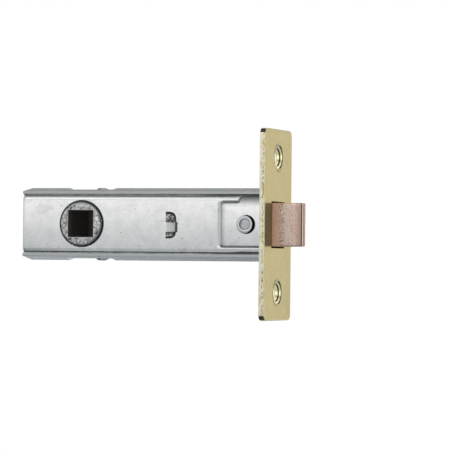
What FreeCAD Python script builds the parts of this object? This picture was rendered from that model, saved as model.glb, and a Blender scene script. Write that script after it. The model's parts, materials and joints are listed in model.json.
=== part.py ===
import FreeCAD, Part
import math
import os

import Sketcher

# Tubular door latch with a cast follower, all lengths in millimetres.
# The origin is the spindle axis at mid thickness: +X points to the forend, +Y to the
# back of the case and +Z up.

os.makedirs("parts", exist_ok=True)
doc = FreeCAD.newDocument("tubular_door_latch")

SIZES = {
    # Forend and door preparation
    "backset": 60.0,
    "forend_height": 57.0,
    "forend_width": 25.0,
    "forend_thickness": 1.8,
    "forend_corner_radius": 2.0,
    "forend_edge_radius": 0.25,
    "screw_spacing": 40.4,
    "screw_hole": 4.4,
    "screw_head": 7.6,
    "screw_head_angle": 90.0,
    "bolt_clearance_side": 0.25,
    "bolt_clearance_height": 0.4,
    "gate_frame": 1.8,
    # Case
    "case_thickness": 15.6,
    "case_rear": 19.5,
    "sheet": 0.9,
    "ridge_height": 22.0,
    "back_fall": 1.4,
    "lip_fall": 1.15,
    "lip_setback": 0.4,
    "corner_radius": 1.3,
    "ridge_radius": 1.4,
    "seam": 0.3,
    "cover_flange": 2.6,
    "cover_end_radius": 1.0,
    "cover_taper": 0.45,
    "cover_taper_length": 6.3,
    "hub_play": 0.06,
    "hub_relief_step": 0.5,
    "hub_relief_depth": 0.5,
    "ridge_slot_rear": 6.7,
    "ridge_slot_front": 8.2,
    "ridge_slot_width": 6.8,
    # Lanced tabs that carry the spring seat
    "tab_start": 27.3,
    "tab_length": 2.4,
    "tab_height": 3.0,
    "tab_drop": 0.9,
    "tab_push": 1.6,
    "tab_window_height": 7.5,
    "tab_window_drop": 0.3,
    "tab_gap": 1.1,
    # Bracket behind the forend
    "web": 1.2,
    "tongue": 0.8,
    "tongue_length": 12.2,
    "tongue_fall": 2.2,
    "tongue_radius": 1.2,
    "shoulder_length": 5.65,
    "shoulder_slope": 1.1,
    "tongue_clearance": 0.35,
    "rivet_setback": 4.7,
    "rivet_head": 5.4,
    "rivet_head_height": 0.55,
    "rivet_shank": 3.0,
    "rivet_ring": 3.2,
    "rivet_ring_depth": 0.25,
    "rivet_clearance": 0.05,
    "rivet_edge_radius": 0.35,
    # Bolt and its stem
    "bolt_thickness": 11.8,
    "bolt_projection": 9.8,
    "bolt_tip": 2.0,
    "bolt_root": 0.6,
    "bolt_tail": 15.5,
    "bolt_tip_radius": 0.6,
    "bolt_edge_radius": 0.45,
    "spring_pocket": 7.4,
    "spring_pocket_depth": 8.5,
    "stem": 3.0,
    "stem_grip": 4.0,
    "stem_hole": 3.4,
    "clip_diameter": 6.4,
    "clip_thickness": 0.8,
    "clip_gap": 0.1,
    "clip_groove": 2.4,
    "stem_end": 0.8,
    # Spring seat and bolt spring
    "seat_thickness": 1.0,
    "seat_clearance": 0.3,
    "bolt_spring_diameter": 5.6,
    "bolt_spring_wire": 0.8,
    "bolt_spring_turns": 7.5,
    "bolt_spring_end_turns": 1.0,
    "coil_play": 0.05,
    "coil_steps": 18,
    "bend_steps": 4,
    "wire_sides": 8,
    # Stirrup that links the follower to the bolt
    "stirrup_sheet": 1.2,
    "stirrup_gap": 1.1,
    "stirrup_width": 8.4,
    "stirrup_front": 26.7,
    "stirrup_bridge": 2.8,
    "stirrup_bend": 2.0,
    "window_width": 5.4,
    "window_front": 16.0,
    "window_gap": 0.2,
    # Follower
    "socket_wall": 2.45,
    "boss_proud": 0.9,
    "boss_edge_radius": 0.35,
    "core_play": 0.55,
    "core_step": 0.75,
    "core_rear": 3.9,
    "core_gap": 0.2,
    "ear_proud": 0.65,
    "ear_thickness": 4.8,
    "ear_half_width": 1.4,
    "ear_tip_radius": 1.0,
    "ear_lean": 22.0,
    # Return spring of the follower
    "return_wire": 0.9,
    "return_step": 0.05,
    "return_turns": 1.5,
    "return_hook": 2.0,
    "return_gap": 0.15,
}

sheet = doc.addObject("Spreadsheet::Sheet", "Sizes")
for row, (alias, value) in enumerate(SIZES.items(), start=1):
    sheet.set("A%d" % row, alias)
    sheet.set("B%d" % row, str(value))
    sheet.setAlias("B%d" % row, alias)
doc.recompute()


class Term:
    """A length with its value and the spreadsheet expression that gives it."""

    def __init__(self, text, value):
        self.text = text
        self.value = value

    def __add__(self, other):
        other = as_term(other)
        return Term("(%s + %s)" % (self.text, other.text), self.value + other.value)

    def __sub__(self, other):
        other = as_term(other)
        return Term("(%s - %s)" % (self.text, other.text), self.value - other.value)

    def __mul__(self, other):
        other = as_term(other)
        return Term("(%s * %s)" % (self.text, other.text), self.value * other.value)

    def __truediv__(self, other):
        other = as_term(other)
        return Term("(%s / %s)" % (self.text, other.text), self.value / other.value)

    def __neg__(self):
        return Term("(0 - %s)" % self.text, -self.value)

    __radd__ = __add__
    __rmul__ = __mul__


def as_term(value):
    """Wrap a plain number, and leave a term as it is."""
    return value if isinstance(value, Term) else Term(repr(float(value)), float(value))


def size(alias):
    """The named size as a term."""
    return Term("Sizes." + alias, float(SIZES[alias]))


def sine(angle):
    """The sine of a term in degrees."""
    return Term("sin(%s)" % angle.text, math.sin(math.radians(angle.value)))


def cosine(angle):
    """The cosine of a term in degrees."""
    return Term("cos(%s)" % angle.text, math.cos(math.radians(angle.value)))


def bind(target, name, term):
    """Set one property of a document object from a term."""
    target.setExpression(name, as_term(term).text)


# Sketches

def new_body(label):
    """An empty body for one piece."""
    body = doc.addObject("PartDesign::Body", label)
    body.Label = label
    return body


def new_sketch(body, plane, level):
    """A sketch on one origin plane of the body, moved to a level along its global axis."""
    sketch = body.newObject("Sketcher::SketchObject", "Sketch")
    planes = [item for item in body.Origin.OriginFeatures if item.Role == plane + "_Plane"]
    sketch.AttachmentSupport = (planes[0], [""])
    sketch.MapMode = "FlatFace"
    bind(sketch, "AttachmentOffset.Base.z", -as_term(level) if plane == "XZ" else level)
    return sketch


def fix_point(sketch, geometry, position, u, v):
    """Tie one point of the sketch to its two coordinates."""
    for kind, coordinate in (("DistanceX", as_term(u)), ("DistanceY", as_term(v))):
        rule = Sketcher.Constraint(kind, -1, 1, geometry, position, coordinate.value)
        index = sketch.addConstraint(rule)
        bind(sketch, "Constraints[%d]" % index, coordinate)


def corner_arc(before, corner, after, radius):
    """Entry point, exit point, arc and entry position of a rounded corner."""
    back = (before - corner).normalize()
    ahead = (after - corner).normalize()
    half = back.getAngle(ahead) / 2
    entry = corner + back * (radius / math.tan(half))
    leave = corner + ahead * (radius / math.tan(half))
    centre = corner + (back + ahead).normalize() * (radius / math.sin(half))
    turns_left = (corner - before).cross(after - corner).z > 0
    first, last = (entry, leave) if turns_left else (leave, entry)
    start = math.atan2(first.y - centre.y, first.x - centre.x)
    end = math.atan2(last.y - centre.y, last.x - centre.x)
    circle = Part.Circle(centre, FreeCAD.Vector(0, 0, 1), radius)
    return entry, leave, Part.ArcOfCircle(circle, start, end), 1 if turns_left else 2


def draw_outline(sketch, points):
    """Draw a closed outline through points (u, v) or, with a rounded corner, (u, v, radius)."""
    places = [FreeCAD.Vector(as_term(p[0]).value, as_term(p[1]).value, 0) for p in points]
    count = len(points)
    corners = []
    for i, point in enumerate(points):
        if len(point) == 3:
            radius = as_term(point[2]).value
            corners.append(corner_arc(places[i - 1], places[i], places[(i + 1) % count], radius))
        else:
            corners.append((places[i], places[i], None, 0))
    lines = []
    for i in range(count):
        segment = Part.LineSegment(corners[i][1], corners[(i + 1) % count][0])
        lines.append(sketch.addGeometry(segment, False))
    for i, point in enumerate(points):
        line_in = lines[i - 1]
        line_out = lines[i]
        if len(point) == 2:
            sketch.addConstraint(Sketcher.Constraint("Coincident", line_in, 2, line_out, 1))
            fix_point(sketch, line_out, 1, point[0], point[1])
            continue
        arc = sketch.addGeometry(corners[i][2], False)
        entry = corners[i][3]
        vertex = sketch.addGeometry(Part.Point(places[i]), True)
        sketch.addConstraint(Sketcher.Constraint("Tangent", line_in, 2, arc, entry))
        sketch.addConstraint(Sketcher.Constraint("Tangent", line_out, 1, arc, 3 - entry))
        sketch.addConstraint(Sketcher.Constraint("PointOnObject", vertex, 1, line_in))
        sketch.addConstraint(Sketcher.Constraint("PointOnObject", vertex, 1, line_out))
        rule = Sketcher.Constraint("Radius", arc, as_term(point[2]).value)
        bind(sketch, "Constraints[%d]" % sketch.addConstraint(rule), point[2])
        fix_point(sketch, vertex, 1, point[0], point[1])


def draw_circle(sketch, u, v, diameter):
    """Draw one circle."""
    centre = FreeCAD.Vector(as_term(u).value, as_term(v).value, 0)
    circle = Part.Circle(centre, FreeCAD.Vector(0, 0, 1), as_term(diameter).value / 2)
    ring = sketch.addGeometry(circle, False)
    fix_point(sketch, ring, 3, u, v)
    rule = Sketcher.Constraint("Diameter", ring, as_term(diameter).value)
    bind(sketch, "Constraints[%d]" % sketch.addConstraint(rule), diameter)


def rectangle(low_u, high_u, low_v, high_v, radius=None):
    """The four corners of a rectangle, rounded where a radius is given."""
    corners = [(low_u, low_v), (high_u, low_v), (high_u, high_v), (low_u, high_v)]
    return [corner + (radius,) for corner in corners] if radius is not None else corners


# Features

def sweep_profile(kind, body, plane, start, end, outline, circle):
    """A pad or pocket from one level to another, with the sketch normal inside it."""
    start = as_term(start)
    end = as_term(end)
    sketch = new_sketch(body, plane, end if plane == "XZ" else start)
    if circle is not None:
        draw_circle(sketch, *circle)
    if outline is not None:
        draw_outline(sketch, outline)
    feature = body.newObject("PartDesign::" + kind, kind)
    feature.Profile = sketch
    bind(feature, "Length", end - start)
    feature.Reversed = kind == "Pocket"
    doc.recompute()
    return feature


def pad(body, plane, start, end, outline=None, circle=None):
    """Add material between two levels."""
    return sweep_profile("Pad", body, plane, start, end, outline, circle)


def pocket(body, plane, start, end, outline=None, circle=None):
    """Take material away between two levels, and make sure that some was taken."""
    before = body.Shape.Volume
    feature = sweep_profile("Pocket", body, plane, start, end, outline, circle)
    if not body.Shape.Volume < before - 1e-6:
        raise RuntimeError("a pocket of %s takes nothing away" % body.Label)
    return feature


def lies_in(edge, axis, level):
    """Whether an edge lies in one level across an axis (0 X, 1 Y, 2 Z)."""
    value = as_term(level).value
    return all(abs(point[axis] - value) < 1e-6 for point in edge.discretize(Number=4))


def round_edges(body, levels, radius, spared=None):
    """Round every edge in one of the levels (axis, level), but not those in the spared one."""
    names = []
    for number, edge in enumerate(body.Shape.Edges, start=1):
        chosen = any(lies_in(edge, *level) for level in levels)
        if chosen and not (spared and lies_in(edge, *spared)):
            names.append("Edge%d" % number)
    base = body.Tip
    feature = body.newObject("PartDesign::Fillet", "Fillet")
    feature.Base = (base, names)
    bind(feature, "Radius", radius)
    doc.recompute()
    return feature


def between(side, near, far):
    """Two levels on one side of the middle plane, in rising order."""
    return (side * near, side * far) if side > 0 else (side * far, side * near)


# Values shared by several pieces

backset = size("backset")
forend_back = backset - size("forend_thickness")
web_back = forend_back - size("web")
case_front = web_back
case_back = -size("case_rear")
wall = size("sheet")
half_case = size("case_thickness") / 2
inner_face = half_case - wall
recess_face = half_case - size("tongue")
recess_inner = recess_face - wall
half_ridge = size("ridge_height") / 2
half_back = half_ridge - size("back_fall")
half_lip = half_ridge - size("lip_fall")
lip_face = half_case - size("lip_setback")
half_cover = half_lip - wall - size("seam")
cover_edge = size("cover_flange") - half_case
half_bolt = size("bolt_thickness") / 2
gate_side = half_bolt + size("bolt_clearance_side")
gate_height = half_cover - size("gate_frame")
half_bolt_height = gate_height - size("bolt_clearance_height")
bolt_tip = backset + size("bolt_projection")
bolt_rear = backset - size("bolt_tail")
tab_end = size("tab_start") + size("tab_length")
seat_front = tab_end + size("seat_thickness")
pocket_end = bolt_rear + size("spring_pocket_depth")
tongue_rear = case_front - size("tongue_length")
half_tongue = half_cover - size("tongue_fall")
tongue_top = half_cover - size("cover_taper")
shoulder_rear = case_front - size("shoulder_length")
play = size("tongue_clearance")
rivet_place = case_front - size("rivet_setback")
stirrup_outer = half_ridge - wall - size("stirrup_gap")
stirrup_inner = stirrup_outer - size("stirrup_sheet")
core_radius = stirrup_inner - size("core_play")
boss_radius = core_radius - size("core_step")
lean = size("ear_lean")
window_rear = (
    stirrup_inner * sine(lean) / cosine(lean)
    - size("ear_half_width") / cosine(lean)
    - size("window_gap")
)


# Case: a formed channel and the shallow tray that closes it

NO_CLEARANCE = Term("0", 0.0)


def tongue_outline(top, clearance):
    """Outline in X and Z of a bracket tongue, or of the recess that takes it."""
    rear = tongue_rear - clearance
    shoulder = shoulder_rear - clearance
    reach = half_tongue + clearance
    return [
        (rear, -reach, size("tongue_radius") / 2),
        (case_front, -reach),
        (case_front, top),
        (shoulder, top),
        (shoulder - size("shoulder_slope"), reach),
        (rear, reach, size("tongue_radius")),
    ]


def add_recess(body, side):
    """Press the tongue's recess into one flat face and keep the sheet's thickness."""
    floor = rectangle(
        tongue_rear - play - wall,
        case_front,
        -half_tongue - play - wall,
        half_cover - wall,
    )
    pad(body, "XZ", *between(side, recess_inner, inner_face), floor)
    pocket(body, "XZ", *between(side, recess_face, half_case), tongue_outline(half_cover, play))
    hole = size("rivet_shank") + size("rivet_clearance") * 2
    pocket(body, "XZ", *between(side, recess_inner, recess_face), circle=(rivet_place, 0, hole))


def add_hub_hole(body, side):
    """Cut the round hole that the follower's boss turns in, relieved on the outside."""
    bearing = boss_radius * 2 + size("hub_play") * 2
    relief_floor = half_case - size("hub_relief_depth")
    pocket(body, "XZ", *between(side, inner_face, half_case), circle=(0, 0, bearing))
    relief = bearing + size("hub_relief_step") * 2
    pocket(body, "XZ", *between(side, relief_floor, half_case), circle=(0, 0, relief))


def add_lanced_tab(body, side):
    """Cut a window that leaves a narrow tab, and push the tab's free end inwards."""
    half_window = size("tab_window_height") / 2
    window = rectangle(
        size("tab_start"),
        tab_end + size("tab_gap"),
        -half_window - size("tab_window_drop"),
        half_window - size("tab_window_drop"),
    )
    pocket(body, "XZ", *between(side, inner_face, half_case), window)
    pushed = half_case - size("tab_push")
    profile = [
        (size("tab_start"), side * half_case),
        (tab_end, side * pushed),
        (tab_end, side * (pushed - wall)),
        (size("tab_start"), side * inner_face),
    ]
    if side < 0:
        profile.reverse()
    half_tab = size("tab_height") / 2
    drop = size("tab_drop")
    pad(body, "XY", -half_tab - drop, half_tab - drop, profile)


def make_case_body():
    """The channel: back wall, ridged side walls and rear end wall."""
    body = new_body("case_body")
    outer = [
        (-lip_face, -half_lip),
        (0, -half_ridge, size("ridge_radius")),
        (half_case, -half_back, size("corner_radius")),
        (half_case, half_back, size("corner_radius")),
        (0, half_ridge, size("ridge_radius")),
        (-lip_face, half_lip),
    ]
    bend = size("corner_radius") - wall
    inner = [
        (-lip_face, half_lip - wall),
        (0, half_ridge - wall, size("ridge_radius")),
        (inner_face, half_back - wall, bend),
        (inner_face, wall - half_back, bend),
        (0, wall - half_ridge, size("ridge_radius")),
        (-lip_face, wall - half_lip),
    ]
    pad(body, "YZ", case_back, case_front, outer + inner)
    pad(body, "YZ", case_back, case_back + wall, outer)
    slot = rectangle(
        -size("ridge_slot_rear"),
        size("ridge_slot_front"),
        size("ridge_slot_width") / -2,
        size("ridge_slot_width") / 2,
    )
    pocket(body, "XY", half_back - wall, half_ridge, slot)
    pocket(body, "XY", -half_ridge, wall - half_back, slot)
    notch = half_cover + size("seam")
    notch_floor = cover_edge + size("seam")
    notch_end = case_back + wall
    notch_outline = rectangle(-half_case, notch_floor, -notch, notch)
    pocket(body, "YZ", case_back, notch_end, notch_outline)
    add_hub_hole(body, 1)
    add_recess(body, 1)
    add_lanced_tab(body, 1)
    return body


def make_case_cover():
    """The tray: front wall, two edge flanges and a flange over the rear end."""
    body = new_body("case_cover")
    bend = size("corner_radius")
    outer = [
        (cover_edge, half_cover),
        (-half_case, half_cover, bend),
        (-half_case, -half_cover, bend),
        (cover_edge, -half_cover),
    ]
    inner = [
        (cover_edge, wall - half_cover),
        (-inner_face, wall - half_cover, bend - wall),
        (-inner_face, half_cover - wall, bend - wall),
        (cover_edge, half_cover - wall),
    ]
    pad(body, "YZ", case_back, case_front, outer + inner)
    pad(body, "YZ", case_back, case_back + wall, outer)
    round_edges(body, [(0, case_back)], size("cover_end_radius"), (1, cover_edge))
    taper_end = case_front - size("cover_taper_length")
    taper_start = taper_end - size("cover_taper_length")
    for side in (-1, 1):
        taper = [
            (taper_start, side * half_cover),
            (case_front, side * half_cover),
            (case_front, side * tongue_top),
            (taper_end, side * tongue_top),
        ]
        pocket(body, "XZ", -half_case, cover_edge, taper[::side])
    add_hub_hole(body, -1)
    add_recess(body, -1)
    add_lanced_tab(body, -1)
    return body


# Forend, bracket and rivets

def make_forend():
    """The face plate with its bolt gate and two countersunk screw holes."""
    body = new_body("forend")
    half_width = size("forend_width") / 2
    half_height = size("forend_height") / 2
    plate = rectangle(
        -half_width, half_width, -half_height, half_height, size("forend_corner_radius")
    )
    pad(body, "YZ", forend_back, backset, plate)
    round_edges(body, [(0, backset)], size("forend_edge_radius"))
    gate = rectangle(-gate_side, gate_side, -gate_height, gate_height)
    pocket(body, "YZ", forend_back, backset, gate)
    sketch = new_sketch(body, "YZ", backset)
    for side in (-1, 1):
        draw_circle(sketch, 0, size("screw_spacing") / 2 * side, size("screw_hole"))
    doc.recompute()
    holes = body.newObject("PartDesign::Hole", "ScrewHoles")
    holes.Profile = sketch
    holes.DepthType = "ThroughAll"
    holes.HoleCutType = "Countersink"
    holes.HoleCutCustomValues = True
    bind(holes, "Diameter", size("screw_hole"))
    bind(holes, "HoleCutDiameter", size("screw_head"))
    bind(holes, "HoleCutCountersinkAngle", size("screw_head_angle"))
    doc.recompute()
    return body


def make_bracket():
    """The bracket: a web with the bolt gate and a tongue along each face of the case."""
    body = new_body("forend_bracket")
    web = rectangle(-half_case, half_case, -half_cover, half_cover)
    pad(body, "YZ", web_back, forend_back, web)
    gate = rectangle(-gate_side, gate_side, -gate_height, gate_height)
    pocket(body, "YZ", web_back, forend_back, gate)
    hole = size("rivet_shank") + size("rivet_clearance") * 2
    pad(body, "XZ", -half_case, -recess_face, tongue_outline(tongue_top, NO_CLEARANCE))
    pocket(body, "XZ", -half_case, -recess_face, circle=(rivet_place, 0, hole))
    pad(body, "XZ", recess_face, half_case, tongue_outline(tongue_top, NO_CLEARANCE))
    pocket(body, "XZ", recess_face, half_case, circle=(rivet_place, 0, hole))
    return body


def make_rivet(label, side):
    """A rivet through one tongue and the recess floor, with a ring on its head."""
    body = new_body(label)
    top = half_case + size("rivet_head_height")
    dish = top - size("rivet_ring_depth")
    head = (rivet_place, 0, size("rivet_head"))
    shank = (rivet_place, 0, size("rivet_shank"))
    pad(body, "XZ", *between(side, half_case, top), circle=head)
    round_edges(body, [(1, side * top)], size("rivet_edge_radius"))
    pad(body, "XZ", *between(side, recess_inner, half_case), circle=shank)
    pocket(body, "XZ", *between(side, dish, top), circle=(rivet_place, 0, size("rivet_ring")))
    return body


# Bolt group

def make_bolt():
    """The bevelled bolt head with the pocket for its spring and the hole for its stem."""
    body = new_body("latch_bolt")
    soft = size("bolt_tip_radius")
    profile = [
        (bolt_rear, -half_bolt),
        (bolt_tip, -half_bolt, soft),
        (bolt_tip, size("bolt_tip") - half_bolt, soft),
        (backset + size("bolt_root"), half_bolt, soft * 2),
        (bolt_rear, half_bolt),
    ]
    pad(body, "XY", -half_bolt_height, half_bolt_height, profile)
    ends = [(2, -half_bolt_height), (2, half_bolt_height)]
    round_edges(body, ends, size("bolt_edge_radius"))
    pocket(body, "YZ", bolt_rear, pocket_end, circle=(0, 0, size("spring_pocket")))
    grip = pocket_end + size("stem_grip")
    pocket(body, "YZ", pocket_end, grip, circle=(0, 0, size("stem")))
    return body


clip_front = size("stirrup_front") - size("stirrup_sheet") - size("clip_gap")
clip_rear = clip_front - size("clip_thickness")
stem_rear = clip_rear - size("stem_end")


def make_stem():
    """The round stem between the bolt head and the stirrup, with the groove of its clip."""
    body = new_body("bolt_stem")
    grip = pocket_end + size("stem_grip")
    pad(body, "YZ", stem_rear, clip_rear, circle=(0, 0, size("stem")))
    pad(body, "YZ", clip_rear, clip_front, circle=(0, 0, size("clip_groove")))
    pad(body, "YZ", clip_front, grip, circle=(0, 0, size("stem")))
    return body


def make_clip():
    """The retaining ring that the stirrup pulls on."""
    body = new_body("stem_clip")
    pad(body, "YZ", clip_rear, clip_front, circle=(0, 0, size("clip_diameter")))
    pocket(body, "YZ", clip_rear, clip_front, circle=(0, 0, size("clip_groove")))
    gap = size("clip_groove") / 2
    mouth = rectangle(-gap, gap, -size("clip_diameter"), 0)
    pocket(body, "YZ", clip_rear, clip_front, mouth)
    return body


def make_seat():
    """The plate that rests on both lanced tabs and carries the bolt spring."""
    body = new_body("spring_seat")
    half_width = inner_face - size("seat_clearance")
    half_height = stirrup_inner - size("seat_clearance")
    plate = rectangle(-half_width, half_width, -half_height, half_height)
    pad(body, "YZ", tab_end, seat_front, plate)
    pocket(body, "YZ", tab_end, seat_front, circle=(0, 0, size("stem_hole")))
    return body


def make_stirrup():
    """The U-bent strip whose windows take the follower's ears."""
    body = new_body("stirrup")
    front = size("stirrup_front")
    metal = size("stirrup_sheet")
    rear = window_rear - size("stirrup_bridge")
    outer = stirrup_outer
    bend = size("stirrup_bend")
    profile = [
        (rear, -outer),
        (front, -outer, bend),
        (front, outer, bend),
        (rear, outer),
        (rear, stirrup_inner),
        (front - metal, stirrup_inner, bend - metal),
        (front - metal, -stirrup_inner, bend - metal),
        (rear, -stirrup_inner),
    ]
    half_width = size("stirrup_width") / 2
    pad(body, "XZ", -half_width, half_width, profile)
    half_window = size("window_width") / 2
    window = rectangle(window_rear, size("window_front"), -half_window, half_window)
    pocket(body, "XY", -outer, outer, window)
    pocket(body, "YZ", front - metal, front, circle=(0, 0, size("stem_hole")))
    return body


# Follower

def ear_outline(side):
    """One leaning ear from the core to its rounded tip, above or below the axis."""
    half = size("ear_half_width")
    reach = half_ridge + size("ear_proud")
    corners = [(-half, 0), (half, 0), (half, reach), (-half, reach)]
    outline = []
    for index, (across, along) in enumerate(corners):
        across = as_term(across)
        along = as_term(along)
        u = along * sine(lean) + across * cosine(lean)
        v = along * cosine(lean) - across * sine(lean)
        tip = (size("ear_tip_radius"),) if index > 1 else ()
        outline.append((u, side * v) + tip)
    return outline if side > 0 else outline[::-1]


def make_follower():
    """The cast follower: boss, core, two ears and the square socket of the spindle."""
    body = new_body("follower")
    boss_end = half_case + size("boss_proud")
    core_front = size("core_gap") - inner_face
    half_ear = size("ear_thickness") / 2
    pad(body, "XZ", -boss_end, boss_end, circle=(0, 0, boss_radius * 2))
    round_edges(body, [(1, -boss_end), (1, boss_end)], size("boss_edge_radius"))
    pad(body, "XZ", core_front, size("core_rear"), circle=(0, 0, core_radius * 2))
    for side in (-1, 1):
        pad(body, "XZ", -half_ear, half_ear, ear_outline(side))
    half = boss_radius - size("socket_wall")
    pocket(body, "XZ", -boss_end, boss_end, rectangle(-half, half, -half, half))
    hook = size("return_wire") + size("return_gap") * 2
    hook_place = core_radius + size("return_step")
    deep = size("core_rear") - size("return_hook")
    pocket(body, "XZ", deep, size("core_rear"), circle=(hook_place, 0, hook))
    return body


# Springs

def wire_form(label, path, diameter):
    """A round wire bent along a path of points, as one closed solid with flat facets."""
    sides = int(SIZES["wire_sides"])
    radius = diameter.value / 2
    across = FreeCAD.Vector(1, 0, 0)
    sections = []
    for i, point in enumerate(path):
        into = point - path[i - 1] if i > 0 else path[1] - point
        out = path[i + 1] - point if i + 1 < len(path) else into
        along = (into.normalize() + out.normalize()).normalize()
        across = (across - along * across.dot(along)).normalize()
        third = along.cross(across)
        ring = []
        for k in range(sides):
            turn = 2 * math.pi * k / sides
            ring.append(point + (across * math.cos(turn) + third * math.sin(turn)) * radius)
        sections.append(Part.makePolygon(ring + ring[:1]))
    spring = doc.addObject("Part::Feature", label)
    spring.Shape = Part.makeLoft(sections, True, True)
    spring.Label = label
    return spring


def make_bolt_spring():
    """The compression spring between the seat and the end of the bolt's pocket."""
    wire = size("bolt_spring_wire")
    radius = size("bolt_spring_diameter").value / 2
    turns = SIZES["bolt_spring_turns"]
    start = (seat_front + wire / 2).value
    length = (pocket_end - seat_front - wire).value
    ends = SIZES["bolt_spring_end_turns"]
    closed = (wire + size("coil_play")).value
    open_turns = turns - 2 * ends
    open_pitch = (length - 2 * ends * closed) / open_turns
    steps = int(turns * SIZES["coil_steps"])
    path = []
    for i in range(steps + 1):
        turn = turns * i / steps
        rise = closed * min(turn, ends) + open_pitch * min(max(turn - ends, 0), open_turns)
        rise += closed * max(turn - turns + ends, 0)
        angle = 2 * math.pi * turn
        circle = (radius * math.cos(angle), radius * math.sin(angle))
        path.append(FreeCAD.Vector(start + rise, *circle))
    return wire_form("bolt_spring", path, wire)


def make_return_spring():
    """The torsion spring behind the follower's core, with a hook and a straight leg."""
    wire = size("return_wire")
    radius = (core_radius + size("return_step")).value
    turns = SIZES["return_turns"]
    bend = wire.value
    start = (size("core_rear") + wire / 2 + size("return_gap")).value
    pitch = (wire + size("coil_play")).value
    slope = ((half_ridge - half_back) / inner_face).value
    level = start + pitch * turns
    ceiling = (half_ridge - wall).value - slope * (level + wire.value / 2)
    path = [FreeCAD.Vector(radius, (size("core_rear") - size("return_hook")).value, 0)]
    bend_steps = int(SIZES["bend_steps"])
    for i in range(bend_steps):
        turn = math.pi / 2 * i / bend_steps
        drop = bend * (1 - math.sin(turn))
        path.append(FreeCAD.Vector(radius, start - drop, bend * (math.cos(turn) - 1)))
    first = math.asin(bend / radius)
    last = 2 * math.pi * turns
    steps = int(turns * SIZES["coil_steps"])
    for i in range(steps + 1):
        angle = first + (last - first) * i / steps
        rise = pitch * turns * i / steps
        circle = (radius * math.cos(angle), -radius * math.sin(angle))
        path.append(FreeCAD.Vector(circle[0], start + rise, circle[1]))
    path.append(FreeCAD.Vector(-radius, level, ceiling))
    return wire_form("follower_spring", path, wire)


pieces = [
    make_case_body(),
    make_case_cover(),
    make_forend(),
    make_bracket(),
    make_rivet("rivet_front", -1),
    make_rivet("rivet_rear", 1),
    make_bolt(),
    make_stem(),
    make_clip(),
    make_seat(),
    make_stirrup(),
    make_follower(),
    make_bolt_spring(),
    make_return_spring(),
]
doc.recompute()

for item in doc.Objects:
    if "Invalid" in item.State or "Error" in item.State:
        raise RuntimeError("%s is in state %s" % (item.Name, item.State))

for piece in pieces:
    shape = piece.Shape
    if shape.isNull() or not shape.isValid():
        raise RuntimeError("%s has no valid shape" % piece.Label)
    shape.exportStep("parts/%s.step" % piece.Label)
    print("%s %d solid(s) %.1f mm3" % (piece.Label, len(shape.Solids), shape.Volume))
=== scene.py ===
"""Looks of a tubular door latch: finishes, fine surface pieces, camera and studio light.

The latch lies along X with its face plate at +X. Every piece is made in metres in the frame of
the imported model, and rides on one of its bodies. The sizes given here are in millimetres, apart
from the studio's, and colours are linear.
"""

from __future__ import annotations

import json
import logging
import math
from dataclasses import dataclass, field
from enum import Enum

import bmesh
import bpy
import numpy as np
from mathutils import Matrix, Vector

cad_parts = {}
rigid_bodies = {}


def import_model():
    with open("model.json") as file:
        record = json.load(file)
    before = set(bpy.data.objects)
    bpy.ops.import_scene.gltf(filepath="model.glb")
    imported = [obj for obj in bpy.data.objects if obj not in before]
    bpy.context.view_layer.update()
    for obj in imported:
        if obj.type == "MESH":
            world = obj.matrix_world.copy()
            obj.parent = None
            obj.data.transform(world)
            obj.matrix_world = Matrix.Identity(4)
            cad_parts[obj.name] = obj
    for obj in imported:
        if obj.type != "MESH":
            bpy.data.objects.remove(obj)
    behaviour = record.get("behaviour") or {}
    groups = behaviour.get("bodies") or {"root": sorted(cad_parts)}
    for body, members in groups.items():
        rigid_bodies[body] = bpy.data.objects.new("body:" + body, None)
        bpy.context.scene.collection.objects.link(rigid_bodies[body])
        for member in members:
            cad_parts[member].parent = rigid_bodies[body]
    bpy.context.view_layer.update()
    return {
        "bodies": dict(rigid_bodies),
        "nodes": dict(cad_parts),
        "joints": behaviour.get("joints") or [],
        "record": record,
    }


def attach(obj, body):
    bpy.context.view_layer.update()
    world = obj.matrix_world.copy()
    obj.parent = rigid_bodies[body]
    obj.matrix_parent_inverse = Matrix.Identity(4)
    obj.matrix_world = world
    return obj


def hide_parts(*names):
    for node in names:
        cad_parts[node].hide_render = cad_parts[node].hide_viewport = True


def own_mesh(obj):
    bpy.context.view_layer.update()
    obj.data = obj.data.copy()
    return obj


LOG = logging.getLogger("latch")
MM = 0.001

Socket = bpy.types.NodeSocket
Pair = tuple[float, float]
Triple = tuple[float, float, float]
Stops = tuple[tuple[float, Triple], ...]

# Range that fractal noise keeps to for the most part, and where the cloudy colour changes in it.
NOISE_SPAN = (0.3, 0.7)
CLOUD_STOPS = (0.34, 0.66)
# Colour sockets of the mixing node, which has a set of sockets for each kind of data.
MIX_FIRST, MIX_SECOND, MIX_RESULT = 6, 7, 2
# Reach in metres within which points are merged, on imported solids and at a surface's poles.
MERGE_REACH = 2e-6
POLE_REACH = 1e-8
# Angles below which faces are joined as one flat, and below which an edge is shaded smooth.
FLAT_ANGLE = math.radians(0.6)
SMOOTH_ANGLE = math.radians(28.0)


class Body(Enum):
    """The rigid bodies of the latch."""

    CASE = "case"
    FOLLOWER = "follower"
    STIRRUP = "stirrup"
    BOLT = "bolt"


# Measures that finishes are made of


@dataclass(frozen=True)
class Rise:
    """A smooth change from one share to another between two values."""

    start: float
    end: float
    low: float = 0.0
    high: float = 1.0


@dataclass(frozen=True)
class Band:
    """A stretch at full strength within reach of its centre, with a soft border beyond."""

    centre: float
    reach: float
    soft: float


@dataclass(frozen=True)
class Zone:
    """A box with soft borders: one band along each axis that bounds it."""

    x: Band | None = None
    y: Band | None = None
    z: Band | None = None


@dataclass(frozen=True)
class Spot:
    """A disc or ring: a band of distances from a point, with a weight for each axis."""

    centre: Triple
    band: Band
    weights: Triple = (1.0, 0.0, 1.0)


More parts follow.
